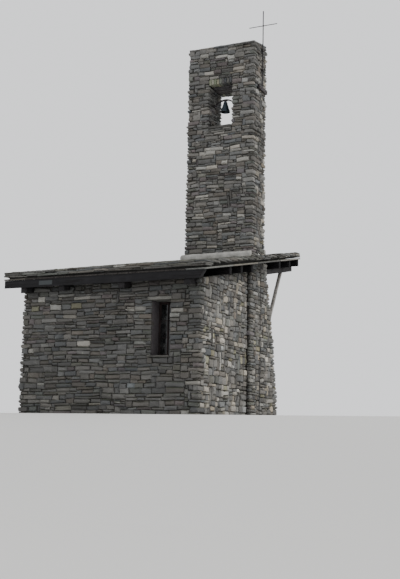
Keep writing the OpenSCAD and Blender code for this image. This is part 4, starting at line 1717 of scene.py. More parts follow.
@dataclass
class Walls:
    """Rubble walls of the tower, the chapel and the buttresses, with the mortar behind the stones.

    Attributes:
        recess: How far the mortar lies behind the faces of the walls.
        coping: Thickness of the slabs on top of the tower.
        join: Height under the collar, from which the tower's faces show over the roof.
        slabs: Front edges of the slabs that span the bell's opening.
        slab: Depth of one of them.
        rng: Source of the stones' differences.
    """

    recess: float = 0.055
    coping: float = 0.06
    join: float = 4.9
    slabs: tuple[float, ...] = (-0.29, -0.09, 0.11)
    slab: float = 0.185
    rng: np.random.Generator = seeded(0)

    TOWER = ("tower_shaft", "bell_jamb_left", "bell_jamb_right", "tower_head", "tower_coping")
    CHAPEL = ("front_wall_left", "front_wall_right", "front_wall_below", "front_wall_over",
              "left_wall", "right_wall", "rear_wall_left", "rear_wall_right", "rear_wall_over_door")
    BUTTRESSES = ("buttress_right", "buttress_left")
    PALE_TOWER = (
        (203, 54), (217, 57), (233, 55), (229, 50), (228, 61), (193, 66), (209, 73), (236, 69), (215, 76),
        (242, 80), (251, 79), (193, 92), (193, 111), (203, 129), (200, 142), (224, 134), (248, 125),
        (206, 150), (214, 149), (224, 147), (239, 146), (230, 151), (202, 155), (227, 161), (237, 159),
        (195, 160), (212, 168), (202, 170), (237, 177), (242, 184), (202, 195), (206, 199), (242, 197),
        (202, 214), (197, 219), (222, 215), (219, 224), (218, 229), (192, 237), (201, 241), (228, 241),
        (233, 249), (212, 247), (244, 215), (226, 223))
    PALE_FRONT = ((69, 314), (89, 342), (140, 342), (178, 317), (179, 310), (134, 308), (44, 298), (60, 297),
                  (86, 297))
    BUFF_FRONT = ((34, 308), (77, 308))
    PALE_RIGHT = ((204, 306), (211, 307), (241, 296), (255, 304), (255, 313), (225, 320), (210, 326))
    BUFF_RIGHT = ((203, 294), (264, 367))

    def build(self) -> None:
        """Lays all stones and sets the mortar cores behind them."""
        masonry = Masonry(self.sides(), Beds(self.marks()), self.rng)
        for name, pile in masonry.lay(self.bonds()).items():
            dress(pile.build(name), "rubble", smooth=36)
        self.build_soffit()
        self.build_cores()

    def tower_top(self, x: float, y: float) -> float:
        """Underside of the coping slabs over a point of the tower."""
        low, high = SITE.tower_low, SITE.tower_high
        return high.z - SITE.coping_rise * (high.y - y) / (high.y - low.y) - self.coping

    def marks(self) -> tuple[float, ...]:
        """Finds the heights at which the bed lines run level.

        Returns:
            The heights.
        """
        lintels = [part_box(node)[k].z for node in ("window_lintel", "door_lintel") for k in (0, 1)]
        return (0.0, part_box("window_sill")[0].z, *lintels, SITE.sill_low, SITE.opening_top,
                SITE.soldier_top, SITE.tower_high.z - SITE.coping_rise - self.coping, SITE.tower_high.z)

    @staticmethod
    def accents(start: Plan, axis: int, place: float,
                *found: tuple[StoneColour, Sequence[Plan]]) -> tuple[tuple[float, float, StoneColour], ...]:
        """Finds the stones of a face that stand out by their colour in the photo.

        Args:
            start: Start of the side in plan.
            axis: Axis across its plane.
            place: Place of its plane on that axis.
            found: Pixels of the stones of each colour.

        Returns:
            For each stone its distance along the side, its height and its colour.
        """
        stones = []
        for colour, pixels in found:
            for u, v in pixels:
                spot = VIEW.on_plane(u, v, axis, place)
                stones.append((math.dist(spot.xy, start), spot.z, colour))
        return tuple(stones)

    def sides(self) -> list[Side]:
        """Describes all faces of the walls.

        Returns:
            The sides.
        """
        x0, x1, y0, y1 = SITE.tower_low.x, SITE.tower_high.x, SITE.tower_low.y, SITE.tower_high.y
        right_rake = Rake("buttress_right")
        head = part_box("buttress_right")[1].z
        ox0, ox1 = SITE.opening_x0, SITE.opening_x1
        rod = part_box("earth_rod")

        def over_buttress(x: float, y: float) -> float:
            """Top of the tower's right face, and of the buttress behind it."""
            return SITE.eaves(y) if y > y1 + 0.01 else self.tower_top(x, y)

        def rear_edge(z: float) -> Plan:
            """Rear end of the tower's right face with its buttress."""
            return (x1, right_rake.y(z)) if z < head else (x1, y1)

        courses = StoneCut(lengths=(0.15, 0.52), heights=(0.07, 0.155), upright=0.01)
        blocks = StoneCut(lengths=(0.13, 0.48), heights=(0.075, 0.18), upright=0.05)
        calm = StoneCut(heights=(0.07, 0.15), proud=0.004, bulge=0.008)
        through = Hole(ox0 - x0, ox1 - x0, SITE.sill_low, SITE.soldier_top)
        behind = Hole(x1 - ox1, x1 - ox0, SITE.sill_low, SITE.soldier_top)
        in_wall = Hole(SITE.room_right - x0, SITE.chapel_right - x0, -1.0, self.join)
        pale = self.accents((x0, y0), 1, y0, (StoneColour.PALE, self.PALE_TOWER))
        return [
            Side("tower_front", at(x0, y0), at(x1, y0), holes=(through, in_wall), top=self.tower_top,
                 mix=TOWER_MIX, cut=courses, accents=pale),
            Side("tower_right", at(x1, y0), rear_edge, top=over_buttress, mix=WARM_WITH_PAINTED_SUN, cut=blocks,
                 clear=(rod[0].y - y0 - 0.02, rod[1].y - y0 + 0.02)),
            Side("tower_rear", at(x1, y1), at(x0, y1), bottom=SITE.eaves(y1), holes=(behind,),
                 top=self.tower_top, mix=TOWER_MIX),
            Side("tower_left", at(x0, y1), at(x0, y0), top=self.tower_top, mix=TOWER_MIX,
                 holes=(Hole(0.0, y1 - SITE.room_rear, -1.0, SITE.eaves(y1)),)),
            Side("left_jamb", at(ox0, y0), at(ox0, y1), bottom=SITE.sill_low - 0.2, top=self.under_opening,
                 mix=TOWER_MIX, cut=calm),
            Side("right_jamb", at(ox1, y1), at(ox1, y0), bottom=SITE.sill_low - 0.2, top=self.under_opening,
                 mix=TOWER_MIX, cut=calm),
            *self.chapel_sides(right_rake),
        ]

    @staticmethod
    def under_opening(x: float, y: float) -> float:
        """Top of the faces inside the bell's opening."""
        return SITE.opening_top

    def chapel_sides(self, right_rake: "Rake") -> list[Side]:
        """Faces of the chapel and the buttresses.

        Args:
            right_rake: Outer face of the right buttress.

        Returns:
            The sides.
        """
        right, left, front, rear = SITE.chapel_right, SITE.chapel_low.x, SITE.chapel_low.y, SITE.rear
        left_rake = Rake("buttress_left")
        inner_right, inner_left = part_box("buttress_right")[0].x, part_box("buttress_left")[1].x

        def under_roof(x: float, y: float) -> float:
            """Underside of the roof boards."""
            return SITE.eaves(y)

        def under_purlins(x: float, y: float) -> float:
            """Underside of the purlins."""
            return SITE.roof(y) - TIMBERS.rafter_high

        blocks = StoneCut(lengths=(0.12, 0.42), heights=(0.08, 0.22), upright=0.11)
        long = StoneCut(lengths=(0.15, 0.62), heights=(0.07, 0.175), upright=0.012)
        head = right_rake.y(4.8)
        door, over_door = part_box("door_frame"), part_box("door_lintel")
        window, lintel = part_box("window_frame"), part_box("window_lintel")
        rear_holes = [TIMBERS.rafter_hole(inner_right - x, rear) for x in TIMBERS.rafters[1:3]]
        rear_holes += [Hole(inner_right - high.x, inner_right - low.x, bottom, top)
                       for (low, high), bottom, top in ((door, -1.0, over_door[0].z),
                                                        (over_door, over_door[0].z, over_door[1].z))]
        front_holes = [TIMBERS.rafter_hole(x - left, front) for x in TIMBERS.rafters]
        front_holes += [Hole(low.x - left, high.x - left, bottom, top) for (low, high), bottom, top in (
            (window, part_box("window_sill")[0].z, lintel[0].z), (lintel, lintel[0].z, lintel[1].z))]
        return [
            Side("right_rake", right_rake.line(SITE.tower_high.x), right_rake.line(inner_right),
                 holes=(TIMBERS.rafter_hole(SITE.tower_high.x - TIMBERS.porch_rafter, head),),
                 top=under_roof),
            Side("right_buttress_side", right_rake.line(inner_right), at(inner_right, rear), top=under_roof),
            Side("chapel_rear", at(inner_right, rear), at(inner_left, rear), holes=tuple(rear_holes),
                 top=under_roof),
            Side("left_buttress_side", at(inner_left, rear), left_rake.line(inner_left), top=under_purlins),
            Side("left_rake", left_rake.line(inner_left), left_rake.line(left),
                 holes=(TIMBERS.rafter_hole(TIMBERS.rafters[0] - left, head),), top=under_purlins),
            Side("chapel_left", left_rake.line(left), at(left, front), top=under_purlins, cut=long),
            Side("chapel_front", at(left, front), at(right, front), holes=tuple(front_holes),
                 top=under_roof, cut=long, accents=self.accents(
                     (left, front), 1, front, (StoneColour.PALE, self.PALE_FRONT),
                     (StoneColour.YELLOW, self.BUFF_FRONT))),
            Side("chapel_right", at(right, front), at(right, SITE.tower_low.y), top=under_purlins,
                 cut=blocks, mix=WARM_WITH_PAINTED_SUN, accents=self.accents(
                     (right, front), 0, right, (StoneColour.PALE, self.PALE_RIGHT),
                     (StoneColour.YELLOW, self.BUFF_RIGHT))),
        ]

    def bonds(self) -> list[Bond]:
        """Describes all corners of the walls.

        Returns:
            The corners.
        """
        x0, x1, roof = SITE.tower_low.x, SITE.tower_high.x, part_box("buttress_right")[1].z
        tower, chapel = "tower_corner_stones", "chapel_corner_stones"
        corners = [
            Bond(tower, "tower_front", "tower_right"),
            Bond(tower, "tower_right", "right_rake", top=roof),
            Bond(tower, "tower_right", "tower_rear", bottom=roof),
            Bond(tower, "tower_rear", "tower_left", bottom=roof),
            Bond(tower, "tower_left", "tower_front"),
        ]
        ring = ("left_buttress_side", "left_rake", "chapel_left", "chapel_front", "chapel_right")
        corners += [Bond(chapel, *pair) for pair in (("right_rake", "right_buttress_side"),
                                                     *zip(ring, ring[1:]))]
        left, right = SITE.opening_x0, SITE.opening_x1
        for first, second, place, onto, under in (
                ("tower_front", "left_jamb", left - x0, None, 0.07),
                ("left_jamb", "tower_rear", None, x1 - left, 0.0),
                ("tower_rear", "right_jamb", x1 - right, None, 0.05),
                ("right_jamb", "tower_front", None, right - x0, 0.12)):
            corners.append(Bond("opening_corner_stones", first, second, SITE.sill_low - under,
                                SITE.opening_top, place, onto))
        return corners

    def build_soffit(self) -> None:
        """Spans the opening with rough slabs between its two rows of upright stones."""
        pile = BlockPile(BlockTemplate.slab(6, 3), self.rng, ragged=0.004)
        for y in self.slabs:
            # Purple stones, darker than their own colour as painted shade on the opening's ceiling.
            tint = StoneMix.shade(StoneColour.PURPLE, self.rng, 0.7)
            pile.lay((SITE.opening_x0 - 0.03, SITE.opening_x1 + 0.03), (y, y + self.slab),
                     lambda place: SITE.opening_top + 0.06, 0.055, tint)
        dress(pile.build("opening_ceiling"), "rubble")

    def build_cores(self) -> None:
        """Sets the mortar behind the stones and plasters the faces that have none."""
        low, high, into = SITE.tower_low, SITE.tower_high, self.recess
        planes = ((0, low.x, into), (0, high.x, -into), (1, low.y, into), (1, high.y, -into))
        tower = joined("tower_core", [cast(node, node + "_core") for node in self.TOWER])
        self.sink(tower, (*planes, (0, SITE.opening_x0, -into), (0, SITE.opening_x1, into)))
        self.sink(tower, ((2, SITE.opening_top, 0.058),))
        self.lower_top(tower)
        dress(tower, "joint_mortar", replaces=self.TOWER)

        foot = cast("tower_foot", "tower_foot_core")
        self.sink(foot, planes)
        dress(foot, "joint_mortar", replaces=("tower_foot",))

        chapel = joined("chapel_core", [cast(node, node + "_core") for node in self.CHAPEL])
        window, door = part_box("window_frame"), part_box("door_frame")
        self.sink(chapel, ((0, SITE.chapel_low.x, into), (0, SITE.chapel_right, -into),
                           (1, SITE.chapel_low.y, into), (1, SITE.rear, -into)))
        self.coat(chapel, "room_limewash", self.faces_room)
        edges = (window[0].x, window[1].x, door[0].x, door[1].x)
        self.coat(chapel, "reveal_plaster", lambda spot, normal: abs(normal.x) > 0.9 and any(
            abs(spot.x - edge) < 0.002 for edge in edges))
        dress(chapel, "joint_mortar", replaces=self.CHAPEL)

        for node in self.BUTTRESSES:
            buttress = cast(node, node + "_core")
            x0, x1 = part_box(node)[0].x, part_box(node)[1].x
            self.sink(buttress, ((0, x0, into), (0, x1, -into)))
            shift(buttress, lambda spot: spot.y > SITE.rear + 0.06, (0, -into, 0))
            dress(buttress, "joint_mortar", replaces=(node,))

    @staticmethod
    def sink(obj: Object, planes: Sequence[tuple[int, float, float]]) -> None:
        """Moves the faces that lie in some planes.

        Args:
            obj: The core.
            planes: For each plane its axis, its place on it and how far the faces move along it.
        """
        for axis, place, by in planes:
            shift(obj, lambda spot: abs(spot[axis] - place) < 0.001, step_along(axis, by))

    def lower_top(self, obj: Object) -> None:
        """Lowers the top of the tower's core to make room for the coping slabs."""
        rim = SITE.tower_high.z - SITE.coping_rise - 0.02
        shift(obj, lambda spot: spot.z > rim, (0, 0, -self.coping))

    @staticmethod
    def coat(obj: Object, finish: str, test: Callable[[Vector, Vector], bool]) -> None:
        """Gives some faces another finish than the core's mortar.

        Args:
            obj: The core.
            finish: Name of the finish in the palette.
            test: Says by its place and its normal whether a face gets it.
        """
        if not obj.data.materials:
            obj.data.materials.append(PALETTE["joint_mortar"])
        obj.data.materials.append(PALETTE[finish])
        for face in obj.data.polygons:
            if test(face.center, face.normal):
                face.material_index = len(obj.data.materials) - 1

    @staticmethod
    def faces_room(spot: Vector, normal: Vector) -> bool:
        """Tests whether a face of the walls shows inside the chapel's room.

        Args:
            spot: Middle of the face.
            normal: Its normal.

        Returns:
            Whether it does.
        """
        planes = ((0, SITE.room_left, 1), (0, SITE.room_right, -1), (1, SITE.room_front, 1),
                  (1, SITE.room_rear, -1))
        return any(normal[axis] * sign > 0.9 and abs(spot[axis] - place) < 0.002
                   for axis, place, sign in planes)


@dataclass
class TowerTop:
    """Coping slabs and the upright stones over the bell's opening.

    Attributes:
        slab: Thickness of the coping slabs.
        soldiers: Number of upright stones in each face.
        depth: Their depth into the wall.
        lift: How far the front row ends over the opening's top.
        rng: Source of their differences.
    """

    slab: float = 0.062
    soldiers: int = 9
    depth: float = 0.25
    lift: float = 0.05
    rng: np.random.Generator = seeded(1)

    LIGHT = ((0.2, 0.21, 0.155), (0.25, 0.25, 0.2), (0.17, 0.19, 0.13), (0.24, 0.23, 0.165),
             (0.15, 0.16, 0.135))
    DARK = ((0.07, 0.072, 0.074), (0.085, 0.083, 0.08), (0.06, 0.063, 0.066), (0.1, 0.098, 0.09))

    def build(self) -> None:
        """Makes the coping and both rows of upright stones."""
        self.build_coping()
        self.build_soldiers()

    def build_coping(self) -> None:
        """Covers the tower with split slabs that fall to the front."""
        low, high, rng = SITE.tower_low, SITE.tower_high, self.rng
        pile = BlockPile(BlockTemplate.slab(7, 5), rng, ragged=0.007)
        slope = SITE.coping_rise / (high.y - low.y)
        for along in ((low.y + 0.004, -0.02), (-0.01, high.y - 0.004)):
            x = low.x + 0.006
            while x < high.x - 0.02:
                width = rng.uniform(0.32, 0.62)
                if high.x - x - width < 0.2:
                    width = high.x - x - 0.006
                pile.lay((x, x + width - 0.01), along, lambda y: high.z - slope * (high.y - y) - 0.008,
                         self.slab, TOWER_MIX.draw(rng), rng.normal(0, 0.004, (2, 2)))
                x += width
        dress(pile.build("coping_slabs"), "roof_stone")

    def build_soldiers(self) -> None:
        """Sets the upright stones in both faces, the pale ones to the left of the front."""
        rng = self.rng
        pile = BlockPile(BlockTemplate.stone(FRONT), rng, jitter=0.0015)
        pitch = (SITE.opening_x1 - SITE.opening_x0) / self.soldiers
        depths = np.array([SITE.tower_low.y - 0.004, SITE.tower_low.y + self.depth])
        for front in (True, False):
            bottom = SITE.opening_top + (self.lift if front else 0.0)
            for i in range(self.soldiers):
                tones = self.LIGHT if ((i < 5) if front else (i % 3 == 1)) else self.DARK
                x = SITE.opening_x0 + pitch * i + 0.004
                corners = np.empty((2, 2, 2, 3))
                corners[..., 0] = (x, x + pitch - 0.008)
                corners[1, ..., 0] += rng.normal(0, 0.004)
                corners[..., 1] = depths[:, None]
                corners[0, ..., 2] = bottom - rng.uniform(0, 0.012)
                corners[1, ..., 2] = SITE.soldier_top - rng.uniform(0.004, 0.02)
                corners += rng.normal(0, 0.002, corners.shape)
                if not front:
                    corners[..., 1] *= -1
                    corners = corners[:, :, ::-1]
                pile.add(corners, tones[i % len(tones)], (0.008, 0.008, 0.01), rng.uniform(0, 0.008))
        dress(pile.build("soldier_stones"), "rubble", replaces=("soldier_lintel",), smooth=38)


@dataclass
class Roof:
    """Stone-slab covering with its verges, boards and mortar collar.

    Attributes:
        courses: Number of courses of slabs.
        overlap: Length of a slab up the slope.
        slab: Thickness of a slab.
        rise: Height of a slab's lower edge over the boards.
        lap: Height of the slab's top where the next one starts.
        ragged: How far a slab's rim is broken off.
        verge_slabs: Number of long slabs along each verge.
        board: Width of a board.
        layers: How far each layer of edge slabs lies under the covering.
        border: Width of the strip that the edge slabs lie in.
        inset: How far the slabs stay inside the roof's edge.
        gap: Space between the slabs and the tower.
        rng: Source of the slabs' differences.
    """

    courses: int = 19
    overlap: float = 0.62
    slab: float = 0.052
    rise: float = 0.221
    lap: float = 0.168
    ragged: float = 0.014
    verge_slabs: int = 4
    board: float = 0.215
    layers: tuple[float, ...] = (0.053, 0.105)
    border: float = 0.5
    inset: float = 0.02
    gap: float = 0.012
    rng: np.random.Generator = seeded(2)

    MIX = StoneMix((
        (StoneColour.GREY, 0.42), (StoneColour.SLATE, 0.2), (StoneColour.BROWN, 0.16),
        (StoneColour.GREEN, 0.12), (StoneColour.PALE, 0.1)), light=0.85, spread=0.3)
    LIGHT = StoneMix(((StoneColour.PALE, 0.5), (StoneColour.GREY, 0.5)), light=0.7, spread=0.15)

    def build(self) -> None:
        """Covers the roof from the boards up."""
        self.build_bed()
        self.build_slabs()
        self.build_verges()
        self.build_boards()
        self.build_collar()

    @property
    def step(self) -> float:
        """Length of a course that shows."""
        return (SITE.roof_high.y - SITE.roof_low.y) / self.courses

    def build_bed(self) -> None:
        """Lowers a copy of the covering to the bed of earth and chips that the slabs lie in."""
        bed = cast("roof_slabs", "roof_bed")
        for low, high, drop in ((0.13, 0.19, 0.07), (0.19, 0.3, 0.075)):
            shift(bed, lambda spot: low < spot.z - SITE.roof(spot.y) < high, (0, 0, -drop))
        Walls.sink(bed, ((0, SITE.roof_low.x, 0.16), (0, SITE.roof_high.x, -0.16),
                         (1, SITE.roof_low.y, 0.12), (1, SITE.roof_high.y, -0.12)))
        # Its near-black finish is partly painted shade of the gaps under the slabs.
        dress(bed, "roof_bed")

    def edge_height(self, y: float, start: float) -> float:
        """Height over the boards of the top of a slab that starts at a place up the slope."""
        return self.rise - (self.rise - self.lap) * (y - start) / self.step

    def spans(self, y0: float, y1: float) -> list[tuple[float, float, float, float]]:
        """Cuts a course round the tower.

        Args:
            y0: Lower edge of its slabs.
            y1: Their upper edge.

        Returns:
            For each stretch its ends in x and in y.
        """
        low, high, gap = SITE.tower_low, SITE.tower_high, self.gap
        left, right = SITE.roof_low.x + self.inset, SITE.roof_high.x - self.inset
        if y1 < low.y - 0.05 or y0 > high.y + gap:
            return [(left, right, y0, y1)]
        found = [(left, low.x - gap, y0, y1), (high.x + gap, right, y0, y1)]
        if y0 < low.y - gap - 0.05:
            found.append((low.x - gap, high.x + gap, y0, low.y - gap))
        if y1 > high.y + 0.2:
            found.append((low.x - gap, high.x + gap, high.y + gap, y1))
        return found

    def build_slabs(self) -> None:
        """Lays the edge slabs and then the courses, each over the heads of the course below."""
        pile = BlockPile(BlockTemplate.slab(6, 4), self.rng, ragged=self.ragged)
        low, high, border, inset = SITE.roof_low, SITE.roof_high, self.border, self.inset
        across = (low.x + inset, high.x - inset)
        for sunk in self.layers:
            self.lay_course(pile, across, (low.y + inset, low.y + border), low.y, sunk)
            self.lay_course(pile, across, (high.y - border, high.y - inset), high.y - self.step, sunk)
        self.lay_verge(pile, low.x + inset, low.x + border)
        self.lay_verge(pile, high.x - border, high.x - inset)
        for course in range(self.courses):
            start = low.y + course * self.step + inset
            end = min(start + self.overlap, high.y - inset)
            for x0, x1, y0, y1 in self.spans(start, end):
                self.lay_course(pile, (x0, x1), (y0, y1), start, 0.0)
        dress(pile.build("covering_slabs"), "roof_stone", replaces=("roof_slabs",))

    def lay_course(self, pile: BlockPile, across: Plan, along: Plan, start: float, sunk: float) -> None:
        """Lays the slabs of one stretch of a course.

        Args:
            pile: Pile that takes the slabs.
            across: Ends of the stretch in x.
            along: Ends of the slabs in y.
            start: Lower edge of the course, from which the slabs' tilt is measured.
            sunk: How far the stretch lies under its usual height.
        """
        (x, end), rng = across, self.rng
        while x < end - 0.02:
            width = rng.uniform(0.3, 0.95)
            if end - x - width < 0.3:
                width = end - x if end - x < 1.1 else (end - x) / 2
            lower = along[0] + (rng.uniform(0.0, 0.055) if abs(along[0] - start) < 0.03 else 0.0)
            pile.lay((x + 0.004, x + width - 0.004), (lower, along[1]),
                     lambda y: SITE.roof(y) + self.edge_height(y, start) - sunk,
                     rng.uniform(0.04, 0.062), self.MIX.draw(rng), rng.normal(0, 0.006, (2, 2)))
            x += width

    def lay_verge(self, pile: BlockPile, x0: float, x1: float) -> None:
        """Lays the slabs under the ends of the courses along one verge.

        Args:
            pile: Pile that takes the slabs.
            x0: Where they start in x.
            x1: Where they end.
        """
        y, rng = SITE.roof_low.y + 0.05, self.rng
        while y < SITE.roof_high.y - 0.05:
            length = min(rng.uniform(0.35, 0.9), SITE.roof_high.y - 0.03 - y)
            beside = x1 > SITE.tower_high.x and y + length > SITE.tower_low.y and y < SITE.rear
            outer = rng.uniform(0.0, 0.12)
            across = (max(x0, SITE.tower_high.x + self.gap) if beside else x0, x1 - outer)
            if x1 < 0:
                across = (x0 + outer, x1)
            pile.lay(across, (y, y + length - rng.uniform(0.01, 0.06)),
                     lambda place: SITE.roof(place) + self.lap - self.slab, rng.uniform(0.025, 0.056),
                     self.MIX.draw(rng), rng.normal(0, 0.008, (2, 2)))
            y += length + (rng.uniform(0.1, 0.4) if rng.uniform() < 0.3 else 0.0)

    def build_verges(self) -> None:
        """Lays the long slabs that carry the covering along both verges."""
        pile = BlockPile(BlockTemplate.slab(4, 8), self.rng, ragged=0.005)
        low, high = SITE.roof_low, SITE.roof_high
        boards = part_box("roof_boards")
        step = (high.y - low.y) / self.verge_slabs
        for x0, x1 in ((low.x + 0.012, boards[0].x - 0.004), (boards[1].x + 0.004, high.x - 0.012)):
            for i in range(self.verge_slabs):
                y0, y1 = low.y + i * step + (0.006 if i else 0.06), low.y + (i + 1) * step - 0.006
                blocked = x1 > SITE.tower_high.x and y1 > SITE.tower_low.y and y0 < SITE.rear
                inner = SITE.tower_high.x + self.gap if blocked else x0
                drop = self.rng.uniform(0.0, 0.004)
                pile.lay((inner, x1), (y0, y1), lambda y: SITE.roof(y) + 0.002 - drop, SITE.deck - 0.002,
                         self.LIGHT.draw(self.rng))
        dress(pile.build("verge_stones"), "roof_stone", replaces=("verge_slabs",))

    def build_boards(self) -> None:
        """Lays the boards up the slope, cut round the tower."""
        rng = self.rng
        pile = BlockPile(BlockTemplate.plank(), rng)
        low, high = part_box("roof_boards")
        tower_low, tower_high, gap = SITE.tower_low, SITE.tower_high, 0.004
        x = low.x
        while x < high.x - 0.02:
            width = self.board * rng.uniform(0.88, 1.12)
            if high.x - x - width < 0.1:
                width = high.x - x
            front = low.y + rng.uniform(0.0, 0.014)
            beside = x + width < tower_low.x - gap
            stretches = [(front, high.y)] if beside else [
                (front, tower_low.y - gap), (tower_high.y + gap, high.y)]
            drop = rng.uniform(0.001, 0.004)
            for along in stretches:
                pile.lay((x + 0.0015, x + width - 0.0015), along, lambda y: SITE.roof(y) - drop,
                         SITE.deck - 0.004, StoneColour.BROWN.value, rims=(0.004, 0.004, 0.004))
            x += width
        dress(pile.build("roof_planks"), "board_timber", replaces=("roof_boards",))

    def build_collar(self) -> None:
        """Rounds the mortar collar off and makes it as lumpy as it was thrown on."""
        collar = cast("tower_collar", "collar")
        low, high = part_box("tower_collar")
        with editing(collar, "EDGE") as mesh:
            pick(collar, mesh.edges, lambda edge: all(
                vertex.co.z > SITE.roof(vertex.co.y) + 0.3 and (
                    abs(vertex.co.x - low.x) < 0.001 or abs(vertex.co.y - low.y) < 0.001
                    or abs(vertex.co.y - high.y) < 0.001) for vertex in edge.verts))
            bpy.ops.mesh.bevel(offset=0.08, segments=3, affect="EDGES")
        modify(collar, "REMESH", mode="VOXEL", voxel_size=0.024)
        roughened(collar, 0.05, 0.2)
        modify(collar, "SMOOTH", factor=0.6, iterations=2)
        dress(collar, "collar_mortar", replaces=("tower_collar",), smooth=60)


@dataclass
class Timberwork:
    """Rafters, purlins, eave beam and struts: hewn timbers with worn edges.

    Attributes:
        edge: Width of a worn edge.
        relief: Depth of the tool marks and hollows.
        nail: Radius of a nail's head.
    """

    edge: float = 0.009
    relief: float = 0.012
    nail: float = 0.007

    def build(self) -> None:
        """Makes every timber of the roof and dresses the plate on the eave beam."""
        for names in (("roof_rafters", "rafters", "rafter_timber", "dark_timber"),
                      ("roof_purlins", "purlins", "beam_timber", "dark_timber"),
                      ("eave_beam", "front_eave_beam", "eave_timber", "dark_timber"),
                      ("strut_right", "right_strut", "strut_timber", "grey_timber"),
                      ("strut_left", "left_strut", "strut_timber", "grey_timber")):
            self.hewn(*names)
        self.build_plate()

    def hewn(self, node: str, name: str, finish: str, slot: str) -> None:
        """Makes a hewn copy of a frame timber.

        Args:
            node: Name of the frame timber.
            name: Name of the copy.
            finish: Name of its finish in the palette.
            slot: Not used.
        """
        timber = cast(node, name)
        bevelled(timber, self.edge, segments=2)
        cut_long_edges(timber, 0.6, 11)
        roughened(timber, self.relief, 0.22)
        dress(timber, finish, replaces=(node,), smooth=35)

    def build_plate(self) -> None:
        """Rounds the edges of the zinc plate on the beam and fixes it with four nails."""
        low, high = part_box("eave_plate")
        plate = cast("eave_plate", "zinc_plate")
        bevelled(plate, 0.002)
        nail = primitive(bpy.ops.mesh.primitive_uv_sphere_add, "nail", (1, 0.4, 1), segments=12,
                         ring_count=6, radius=self.nail)
        nails = repeated(nail, [(x, low.y, z) for x in (low.x + 0.025, high.x - 0.025)
                                for z in (low.z + 0.022, high.z - 0.022)], "nails")
        dress(joined("zinc_plate", [plate, nails]), "zinc", replaces=("eave_plate",), smooth=30)


@dataclass
class DressedSlabs:
    """Lintels, sills, threshold and floor, with clefts as deep as the relief says."""

    relief: float = 0.014

    def build(self) -> None:
        """Makes every slab."""
        for node, finish, edge in (
                ("window_lintel", "lintel_slab", 0.012), ("window_sill", "dark_slab", 0.008),
                ("bell_sill", "dark_slab", 0.01), ("door_lintel", "lintel_slab", 0.014),
                ("door_threshold", "dressed_slab", 0.016)):
            self.split_slab(node, finish, edge)
        dress_node("floor_slab", "floor_flags")

    def split_slab(self, node: str, finish: str, edge: float) -> None:
        """Makes a split copy of a frame slab, with cleft faces and worn edges.

        Args:
            node: Name of the frame slab.
            finish: Name of its finish in the palette.
            edge: Width of its worn edges.
        """
        slab = cast(node, node + "_stone")
        bevelled(slab, edge, segments=2)
        cut_long_edges(slab, 0.25, 7)
        roughened(slab, self.relief, 0.12)
        with editing(slab, "VERT") as mesh:
            if pick(slab, mesh.verts, lambda vertex: vertex.co.z < 0.002):
                bpy.ops.transform.resize(value=(1, 1, 0), center_override=(0, 0, 0.001))
        dress(slab, finish, replaces=(node,), smooth=40)


@dataclass
class Window:
    """Fixed window of the front: frame, glass, beads and glazing bars.

    Attributes:
        edge: Width of a rounded edge.
        bead: Width of the bead that holds the glass.
        bar: Width of a glazing bar.
        half_post: Half the width of the post between the two lights.
        rows: Panes above one another in each light.
    """

    edge: float = 0.004
    bead: float = 0.014
    bar: float = 0.02
    half_post: float = 0.013
    rows: int = 3

    def build(self) -> None:
        """Makes the frame with its beads and bars and dresses the glass."""
        frame_low, frame_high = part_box("window_frame")
        glass_low, glass_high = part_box("window_glass")
        casing = cast("window_frame", "casing", pierced=True)
        bevelled(casing, self.edge, segments=2)
        middle = (frame_low.x + frame_high.x) / 2
        x0, x1, z0, z1 = glass_low.x, middle - self.half_post, glass_low.z, glass_high.z
        face, back = frame_low.y + 0.012, glass_low.y
        light = [worn_box("bead", (left, face, low), (right, back, high), self.edge)
                 for left, right, low, high in (
                     (x0, x0 + self.bead, z0, z1), (x1 - self.bead, x1, z0, z1),
                     (x0, x1, z0, z0 + self.bead), (x0, x1, z1 - self.bead, z1))]
        for row in range(1, self.rows):
            z = z0 + (z1 - z0) * row / self.rows
            light.append(worn_box("bar", (x0, face, z - self.bar / 2), (x1, back, z + self.bar / 2),
                                  0.005, segments=2))
        other = middle + self.half_post - x0
        lights = repeated(joined("light", light), [(0, 0, 0), (other, 0, 0)], "lights")
        dress(joined("window_casing", [casing, lights]), "window_timber",
              replaces=("window_frame",), smooth=35)
        pane = bevelled(cast("window_glass", "panes"), 0.0008)
        dress(pane, "window_glass", replaces=("window_glass",))


